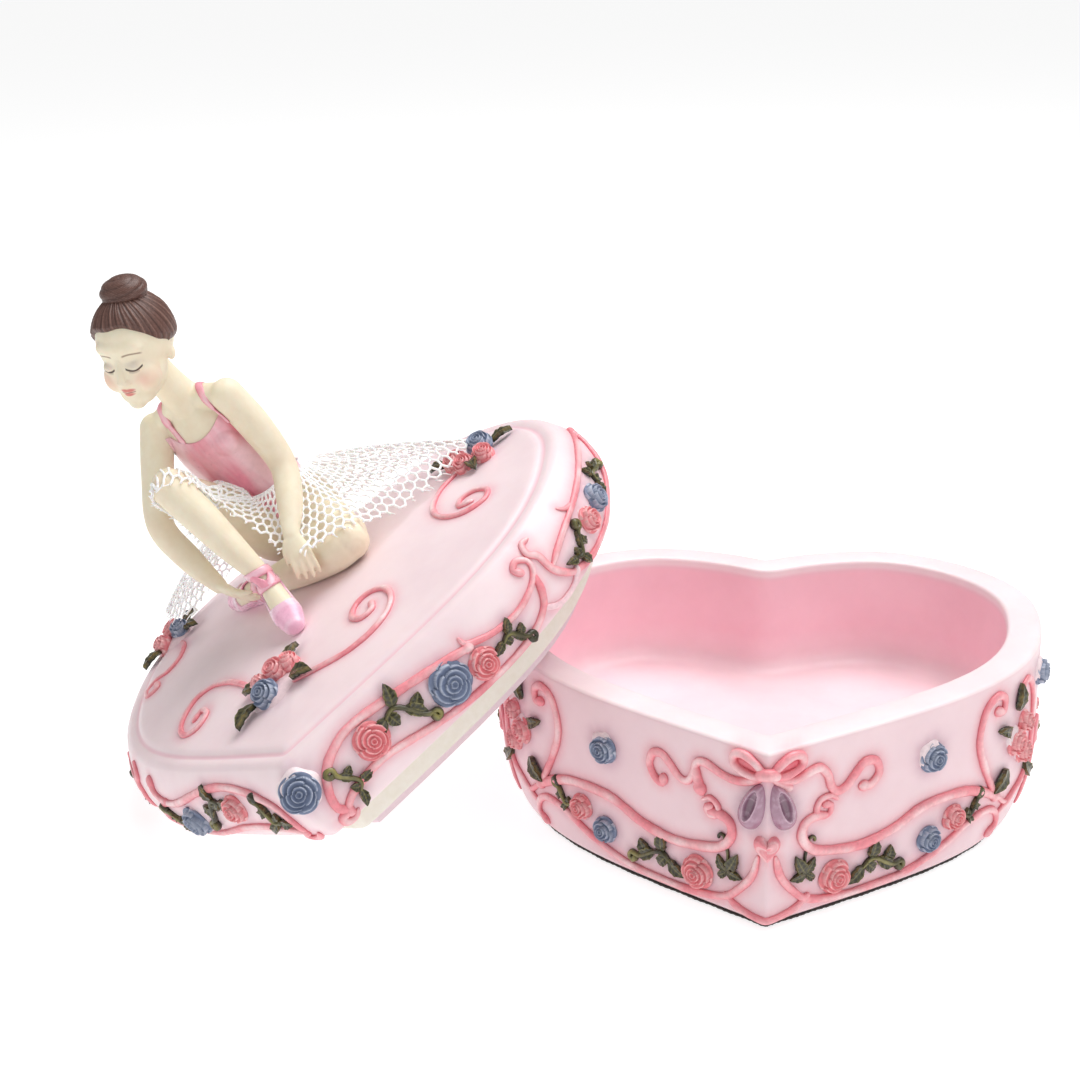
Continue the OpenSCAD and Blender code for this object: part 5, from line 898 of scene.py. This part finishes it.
# hair: a close cap combed up to a coiled bun
HAIR = painted("hair_paint", mottle=0.35, mscale=1.6, rough=(0.34, 0.5), bumps=((3.0, 0.3, 0.08),), spec=0.4)
hb = Bag(); hc0, hc1, hcd = np.array(lin((124, 90, 80))), np.array(lin((172, 136, 122))), np.array(lin((76, 50, 44)))
BUNC = (0.0, -2.6, 14.0)
na, nb = 260, 60
az = np.linspace(0, 2 * np.pi, na, endpoint=False)
# the hairline as an angle down from the crown, by azimuth: 0 is the left ear side, 90 the forehead
azd = np.degrees(az); front_ = np.cos(np.radians(azd - 90))
hl_ang = 100 - 42 * np.clip(front_, 0, 1) ** 0.8 + 14 * np.clip(-front_, 0, 1) + 2.2 * np.sin(az * 5 + 1) * np.clip(front_, 0, 1) - 6.0 * np.exp(-((np.abs((azd - 90 + 180) % 360 - 180) - 72) / 14) ** 2) * -1
t_ = np.linspace(0, 1, nb) ** 0.8
TT, AA = np.meshgrid(t_, az, indexing="ij"); pol = np.radians(TT * hl_ang[None, :])
ax_ = (9.3 + 0.9, 11.0 + 1.0, 10.4 + 1.2)
tw = 0.35 * (1 - TT)                                            # strands curl a little as they reach the bun
groove = np.sin((AA + tw) * 46 + 1.3 * np.sin(AA * 7)) * 0.5 + np.sin((AA + tw) * 97 + 2.0 * np.sin(AA * 3)) * 0.3 + np.sin((AA + tw) * 23) * 0.4
edge_ = np.clip((1 - TT) / 0.10, 0, 1) ** 0.6
thk = 1.0 + 0.016 * groove * np.clip(TT * 4, 0, 1) * edge_
sx = np.sin(pol) * np.cos(AA); sy = np.sin(pol) * np.sin(AA); sz = np.cos(pol)
sc = thk[..., None] * np.stack([sx * (ax_[0] - 1.3 * (1 - edge_)), sy * (ax_[1] - 1.4 * (1 - edge_)), sz * (ax_[2] - 0.6 * (1 - edge_))], -1)
cap = HC + HSC * (sc + np.array([0, -0.8, 1.8])) @ HAX
# the strands are darkened towards hcd in their grooves as painted shade and lightened towards hc1 on their ridges as a
# painted highlight
strand = np.clip(0.5 + 0.45 * groove, 0, 1)
col = hcd * (1 - strand[..., None]) + hc0 * strand[..., None]; hi = np.clip(groove - 0.55, 0, 1)[..., None] * 0.9; col = col * (1 - hi) + hc1 * hi
inner = HC + HSC * (sc * 0.86 + np.array([0, -0.8, 1.8])) @ HAX
f1 = grid_faces(nb, na, True, flip=True); n1_ = nb * na
rim = [((nb - 1) * na + i, (nb - 1) * na + (i + 1) % na, n1_ + (nb - 1) * na + (i + 1) % na, n1_ + (nb - 1) * na + i)[::-1] for i in range(na)]
hb.add(np.vstack([cap.reshape(-1, 3), inner.reshape(-1, 3)]), f1 + [tuple(i + n1_ for i in q[::-1]) for q in f1] + rim, np.vstack([col.reshape(-1, 3), np.repeat(hcd[None], n1_, 0)]))
# the bun: a coiled rope of hair, flattened
nu, nv = 300, 90
uu_, vv_ = np.meshgrid(np.linspace(0, 2 * np.pi, nu, endpoint=False), np.linspace(0.04, np.pi - 0.04, nv), indexing="xy")
coil = np.sin(uu_ * 1.0 + vv_ * 5.2) ; fine = np.sin(uu_ * 22 + vv_ * 60 + 3 * np.sin(uu_ * 2)) * 0.5 + np.sin(vv_ * 88 + uu_ * 9) * 0.3
rb_ = 1 + 0.055 * np.abs(coil) ** 0.6 - 0.03 + 0.010 * fine
bx = np.stack([6.3 * rb_ * np.sin(vv_) * np.cos(uu_), 6.0 * rb_ * np.sin(vv_) * np.sin(uu_), 4.0 * rb_ * np.cos(vv_)], -1)
# between the coils the bun is darkened towards hcd as painted shade, and the ridges of the fine strands are lightened
# towards hc1 as a painted highlight
bun = HC + (bx + np.array(BUNC)) @ HAX; st = np.clip(0.5 + 0.6 * fine, 0, 1)[..., None] * (0.35 + 0.65 * np.clip(np.abs(coil) * 1.6, 0, 1))[..., None]
colb = hcd * (1 - st) + hc0 * st; hi = np.clip(fine - 0.4, 0, 1)[..., None]; colb = colb * (1 - hi) + hc1 * hi
fb = grid_faces(nv, nu, True) + [tuple(range(nu - 1, -1, -1)), tuple((nv - 1) * nu + k for k in range(nu))]
hb.add(bun.reshape(-1, 3), fb, colb.reshape(-1, 3))
hb.v = [L2R(v) for v in hb.v]
o = hb.make("figure_hair_cast", HAIR, "lid", "hair_paint"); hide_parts("figure_hair")

# ------------------------------------------------------------------ the net skirt
# waist and hem of the net, pair by pair, from the raised knee round the lap, the right cluster and the back to the left cluster
PAIRS = [((-16.2, 22.4, 51), (-20.4, 4.6, 50)), ((-15.0, 20.5, 51), (-23.5, 5.5, 63)), ((-12.5, 17.5, 52), (-18.5, -1.0, 73.5)), ((-9, 16.8, 52), (-11.0, 2.0, 64)), ((-4.5, 17.6, 51), (-4.0, -1.0, 49)), ((-1.0, 19, 51), (1.0, -5.0, 41)), ((1.6, 21.5, 51), (8.5, -5.6, 39.5)),
         ((3.4, 24.5, 50), (18.0, -1.0, 38.0)), ((4.2, 28, 50), (25.5, 9, 31)), ((3.6, 32, 50), (39.5, 23.5, 28.4)), ((0.6, 34.6, 50), (47.5, 30, 29.6)), ((-3, 35.8, 50), (45, 37, 28.0)), ((-8, 36, 50), (16, 47, 28.0)),
         ((-13, 35, 50), (-24, 48, 28.2)), ((-16.2, 32.4, 50), (-50, 42, 28.6)), ((-17.4, 28.6, 50), (-62, 35.4, 31.4)), ((-17.2, 24.8, 50), (-57, 26.5, 32.2)), ((-16.6, 22.2, 50.4), (-45.5, 16.0, 31.6))]
def resample(p, n):
    c = catmull(p, 0.3); L = np.r_[0, np.cumsum(np.linalg.norm(np.diff(c, axis=0), axis=1))]; u = np.linspace(0, L[-1], n)
    return np.stack([np.interp(u, L, c[:, j]) for j in range(3)], 1), L[-1]
NA, NB = 190, 34
hem0 = np.array([h for w, h in PAIRS], float); wa0 = np.array([w for w, h in PAIRS], float)
kk = np.r_[0, np.cumsum(np.linalg.norm(np.diff(hem0, axis=0), axis=1))]; ks = np.linspace(0, kk[-1], NA)
hc_, wc_ = catmull(hem0, 1e9), None
def cinterp(p, s):
    i = np.clip(np.searchsorted(kk, s, side="right") - 1, 0, len(kk) - 2); t = ((s - kk[i]) / (kk[i + 1] - kk[i]))[:, None]
    q = np.vstack([2 * p[0] - p[1], p, 2 * p[-1] - p[-2]]); a, b, c, d = q[i], q[i + 1], q[i + 2], q[i + 3]
    return 0.5 * (2 * b + (c - a) * t + (2 * a - 5 * b + 4 * c - d) * t * t + (3 * b - a - 3 * c + d) * t ** 3)
HM, WM = cinterp(hem0, ks), cinterp(wa0, ks)
FLAT_W = float(kk[-1])
bb = np.linspace(0, 1, NB)
G = WM[None] * (1 - bb[:, None, None]) + HM[None] * bb[:, None, None]
# soft folds that run from the gathered waist
fold = np.sin(ks * 0.42)[None] * 1.3 + np.sin(ks * 0.93 + 1)[None] * 0.7
nrm = np.cross(np.gradient(G, axis=1), np.gradient(G, axis=0)); nrm /= np.linalg.norm(nrm, axis=-1, keepdims=True) + 1e-9
G = G + nrm * (fold * np.sin(np.pi * bb[:, None]) ** 0.7 * 0.9)[..., None]
G[..., 2] += 2.2 * np.sin(np.pi * bb[:, None]) ** 0.8 * np.clip((np.linalg.norm(HM - WM, axis=1) - 24) / 30, 0, 1)[None]
fixed = np.zeros((NB, NA), bool); fixed[0] = True
for it in range(22):
    Lp = G.copy(); Lp[1:-1, 1:-1] = 0.25 * (G[:-2, 1:-1] + G[2:, 1:-1] + G[1:-1, :-2] + G[1:-1, 2:]); Lp[-1, 1:-1] = 0.5 * G[-1, 1:-1] + 0.25 * (G[-1, :-2] + G[-1, 2:])
    G = np.where(fixed[..., None], G, G * 0.55 + Lp * 0.45); G[..., 2] -= np.where(fixed, 0, 0.05)
    flat_ = G.reshape(-1, 3)
    for i in range(NA, len(flat_)):
        q = Vector(flat_[i]); c, n_, _, d = BV.find_nearest(q, 9.0)
        if c is None: continue
        s_ = (q - c).dot(n_)
        if s_ < 0.75: flat_[i] = np.array(c) + np.array(n_) * 0.75
    tz = topz(flat_[:, 0], flat_[:, 1]) + 0.7; flat_[:, 2] = np.maximum(flat_[:, 2], tz)
    G = flat_.reshape(NB, NA, 3)
    e = int(6 * NA / 190); G[-1, -e:] = G[-1, -e:] * 0.5 + HM[-e:] * 0.5
rowlen = np.r_[np.zeros((1, NA)), np.cumsum(np.linalg.norm(np.diff(G, axis=0), axis=2), axis=0)]      # real length down each column
FLAT_L = float(rowlen[-1].max())
def net_at(u, v):
    """Point of the draped net at u along the hem and v down from the waist, both flat millimetres; None past the cut edge."""
    x = u / FLAT_W * (NA - 1); i = int(min(max(math.floor(x), 0), NA - 2)); t = x - i
    L = rowlen[:, i] * (1 - t) + rowlen[:, i + 1] * t
    if u < 0 or u > FLAT_W or v < 0 or v > L[-1]: return None
    j = int(min(max(np.searchsorted(L, v, side="right") - 1, 0), NB - 2)); s = (v - L[j]) / (L[j + 1] - L[j] + 1e-9)
    return (G[j, i] * (1 - t) + G[j, i + 1] * t) * (1 - s) + (G[j + 1, i] * (1 - t) + G[j + 1, i + 1] * t) * s
AH = 1.96; dx, dy = AH * math.sqrt(3), AH * 1.5
verts_, edges_ = {}, []
jr = np.random.default_rng(5)
ncol, nrow = int(FLAT_W / dx) + 2, int(FLAT_L / dy) + 3
def hv(r, c, top):     # brick layout of a hexagonal lattice, with its long ties running down the cloth
    return ((c + 0.5 * (r % 2)) * dx, r * dy + (0 if top else AH * 0.5))
jit = {}
def jv(key, p):
    if key not in jit: jit[key] = jr.normal(0, 0.13, 2)
    return p[0] + jit[key][0], p[1] + jit[key][1]
E_ = []
for r in range(nrow):
    for c in range(-1, ncol):
        odd = r % 2
        a = ("a", r, c); pa = jv(a, ((c + 0.5 * odd) * dx, r * dy))                 # peak of the row
        b = ("b", r, c); pb = jv(b, ((c + 0.5 + 0.5 * odd) * dx, r * dy + 0.5 * AH))  # valley to its right
        b0 = ("b", r, c - 1); pb0 = jv(b0, ((c - 0.5 + 0.5 * odd) * dx, r * dy + 0.5 * AH))
        E_ += [(pa, pb), (pa, pb0)]
        dn = ("a", r + 1, c + odd); pdn = jv(dn, ((c + odd + 0.5 * ((r + 1) % 2)) * dx, (r + 1) * dy)); E_.append((pb, pdn))
netbag = Bag(); white = np.array([0.97, 0.97, 0.96]); strand_len = 0.0
cs = np.linspace(0, 2 * np.pi, 5, endpoint=False)
def strand_tube(P, r0, r1):
    global strand_len
    P = np.asarray(P); d = np.gradient(P, axis=0); d /= np.linalg.norm(d, axis=1)[:, None] + 1e-9
    x = np.cross(d, (0.3, 0.2, 0.93)); x /= np.linalg.norm(x, axis=1)[:, None] + 1e-9; y = np.cross(d, x); n = len(P)
    rr = np.interp(np.linspace(0, 1, n), [0, 0.3, 0.7, 1], [r0, r0 * 0.93, r1 * 0.93, r1])
    P = P.copy(); P[0] -= d[0] * 0.08; P[-1] += d[-1] * 0.08
    v = np.vstack([P[i] + rr[i] * (np.cos(cs)[:, None] * x[i] + np.sin(cs)[:, None] * y[i]) for i in range(n)])
    netbag.add(v, grid_faces(n, 5, True) + [tuple(range(4, -1, -1)), tuple((n - 1) * 5 + k for k in range(5))], white * (0.94 + 0.06 * jr.random()))
    strand_len += float(np.linalg.norm(np.diff(P, axis=0), axis=1).sum())
for pa, pb in E_:
    pts = []
    for t in (0, 0.33, 0.67, 1.0):
        q = net_at(pa[0] * (1 - t) + pb[0] * t, pa[1] * (1 - t) + pb[1] * t)
        pts.append(q)
    if all(q is None for q in pts): continue
    good = [q for q in pts if q is not None]
    if len(good) < 2: continue
    strand_tube(good, 0.385, 0.385)
# gathering thread round the waist and the frayed ends of the cut edge
th_ = np.linspace(0, NA - 1, 220)
P = np.stack([np.interp(th_, np.arange(NA), G[0, :, j]) for j in range(3)], 1)
for i in range(0, len(P) - 1, 1): strand_tube(P[i:i + 2], 0.36, 0.36)
for i in range(150):
    u = jr.random() * 26.0 if i < 70 else jr.random() * FLAT_W; x = u / FLAT_W * (NA - 1); k = int(x); p0 = G[-1, k]
    out = unit(G[-1, k] - G[-4, k]) * (0.8 + 1.2 * jr.random()) + jr.normal(0, 0.45, 3)
    if topz(p0[0] + out[0], p0[1] + out[1]) > p0[2] + out[2] - 0.3: out[2] = abs(out[2])
    strand_tube([p0, p0 + out * 0.5 + jr.normal(0, 0.08, 3), p0 + out], 0.2, 0.12)
NETM, nt, p = nodes_of("net_thread"); v = coords(nt); a = attr(nt)
n1 = noise(nt, v, 6.0, 3, 0.6)
# the thread glows faintly white through its emission, painted light that keeps it white against the floor
nt.links.new(mixc(nt, n1, a.outputs["Color"], (0.9, 0.9, 0.9)), p.inputs["Base Color"]); p.inputs["Emission Color"].default_value = (1, 1, 1, 1); p.inputs["Emission Strength"].default_value = 0.14; setp(p, rough=0.7, spec=0.3, sheen=0.5, sheen_rough=0.4, sss=0.1, sss_scale=0.001); bump(nt, p, n1, 0.5, 0.08 * MM)
netbag.v = [L2R(v) for v in netbag.v]
o = netbag.make("net_skirt_cloth", NETM, "lid", "net"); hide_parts("net_skirt")

# ------------------------------------------------------------------ the works under the lid and the covering, kept from the drawing
def metal(name, rgb, rough, dark=0.8, scale=900, stretch=(1, 1, 1), aniso=0.0):
    m, nt, p = nodes_of(name); v = coords(nt)
    mp = nt.nodes.new("ShaderNodeMapping"); mp.inputs["Scale"].default_value = stretch; nt.links.new(v, mp.inputs["Vector"])
    n1 = noise(nt, mp.outputs["Vector"], scale / 1000 * 2.0, 4, 0.6)
    c = np.array(lin(rgb)); cr = ramp(nt, n1, 0.3, 0.7, (*(c * dark), 1), (*c, 1))
    nt.links.new(cr, p.inputs["Base Color"]); setp(p, rough=rough, metal=1.0, aniso=aniso)
    nt.links.new(maprange(nt, n1, 0.3, 0.7, rough * 0.8, rough * 1.25), p.inputs["Roughness"]); bump(nt, p, n1, 0.15, 0.03 * MM)
    return m
def plainm(name, rgb, rough):
    m, nt, p = nodes_of(name); v = coords(nt); n1 = noise(nt, v, 1.2, 4, 0.6); c = np.array(lin(rgb))
    nt.links.new(ramp(nt, n1, 0.3, 0.7, (*(c * 0.93), 1), (*c, 1)), p.inputs["Base Color"]); setp(p, rough=rough, spec=0.3); bump(nt, p, n1, 0.2, 0.05 * MM); return m
BRASS = metal("brass", (214, 176, 98), 0.28, 0.82, 300)
STEEL = metal("steel", (190, 192, 196), 0.26, 0.85, 400)
COMBM = metal("comb_steel", (170, 174, 182), 0.30, 0.8, 250, (1, 8, 1), 0.3)
ZINC = metal("zinc_plate", (176, 178, 180), 0.42, 0.85, 200)
SPRINGM = metal("spring_steel", (110, 116, 130), 0.32, 0.75, 300)
NYLON = plainm("nylon", (238, 236, 228), 0.42)
CARD = plainm("pink_board", (238, 216, 224), 0.8)
KEPT = {"lid_cover_board": CARD, "board_screws": BRASS, "movement_bedplate": ZINC, "comb": COMBM, "comb_screws": STEEL, "spring_housing": ZINC, "spring_cover": BRASS,
        "mainspring": SPRINGM, "governor_frame": BRASS, "movement_screws": STEEL, "winding_arbor": STEEL, "winding_key": BRASS, "crown_wheel": BRASS,
        "pinned_cylinder": BRASS, "cylinder_gear": NYLON, "intermediate_wheel": NYLON, "governor_worm": STEEL, "air_brake": BRASS}
for n_, m_ in KEPT.items():
    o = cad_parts[n_]; o.data.materials.clear(); o.data.materials.append(m_)

# ------------------------------------------------------------------ floor
FL, nt, p = nodes_of("floor"); setp(p, rough=0.9, spec=0.1); p.inputs["Base Color"].default_value = (0.5, 0.5, 0.5, 1); p.inputs["Emission Color"].default_value = (1, 1, 1, 1); p.inputs["Emission Strength"].default_value = 0.76
me = bpy.data.meshes.new("floor"); me.from_pydata([(-30, -30, -0.00008), (30, -30, -0.00008), (30, 30, -0.00008), (-30, 30, -0.00008)], [], [(0, 1, 2, 3)]); me.materials.append(FL)
fl_ = bpy.data.objects.new("floor", me); scene.collection.objects.link(fl_)
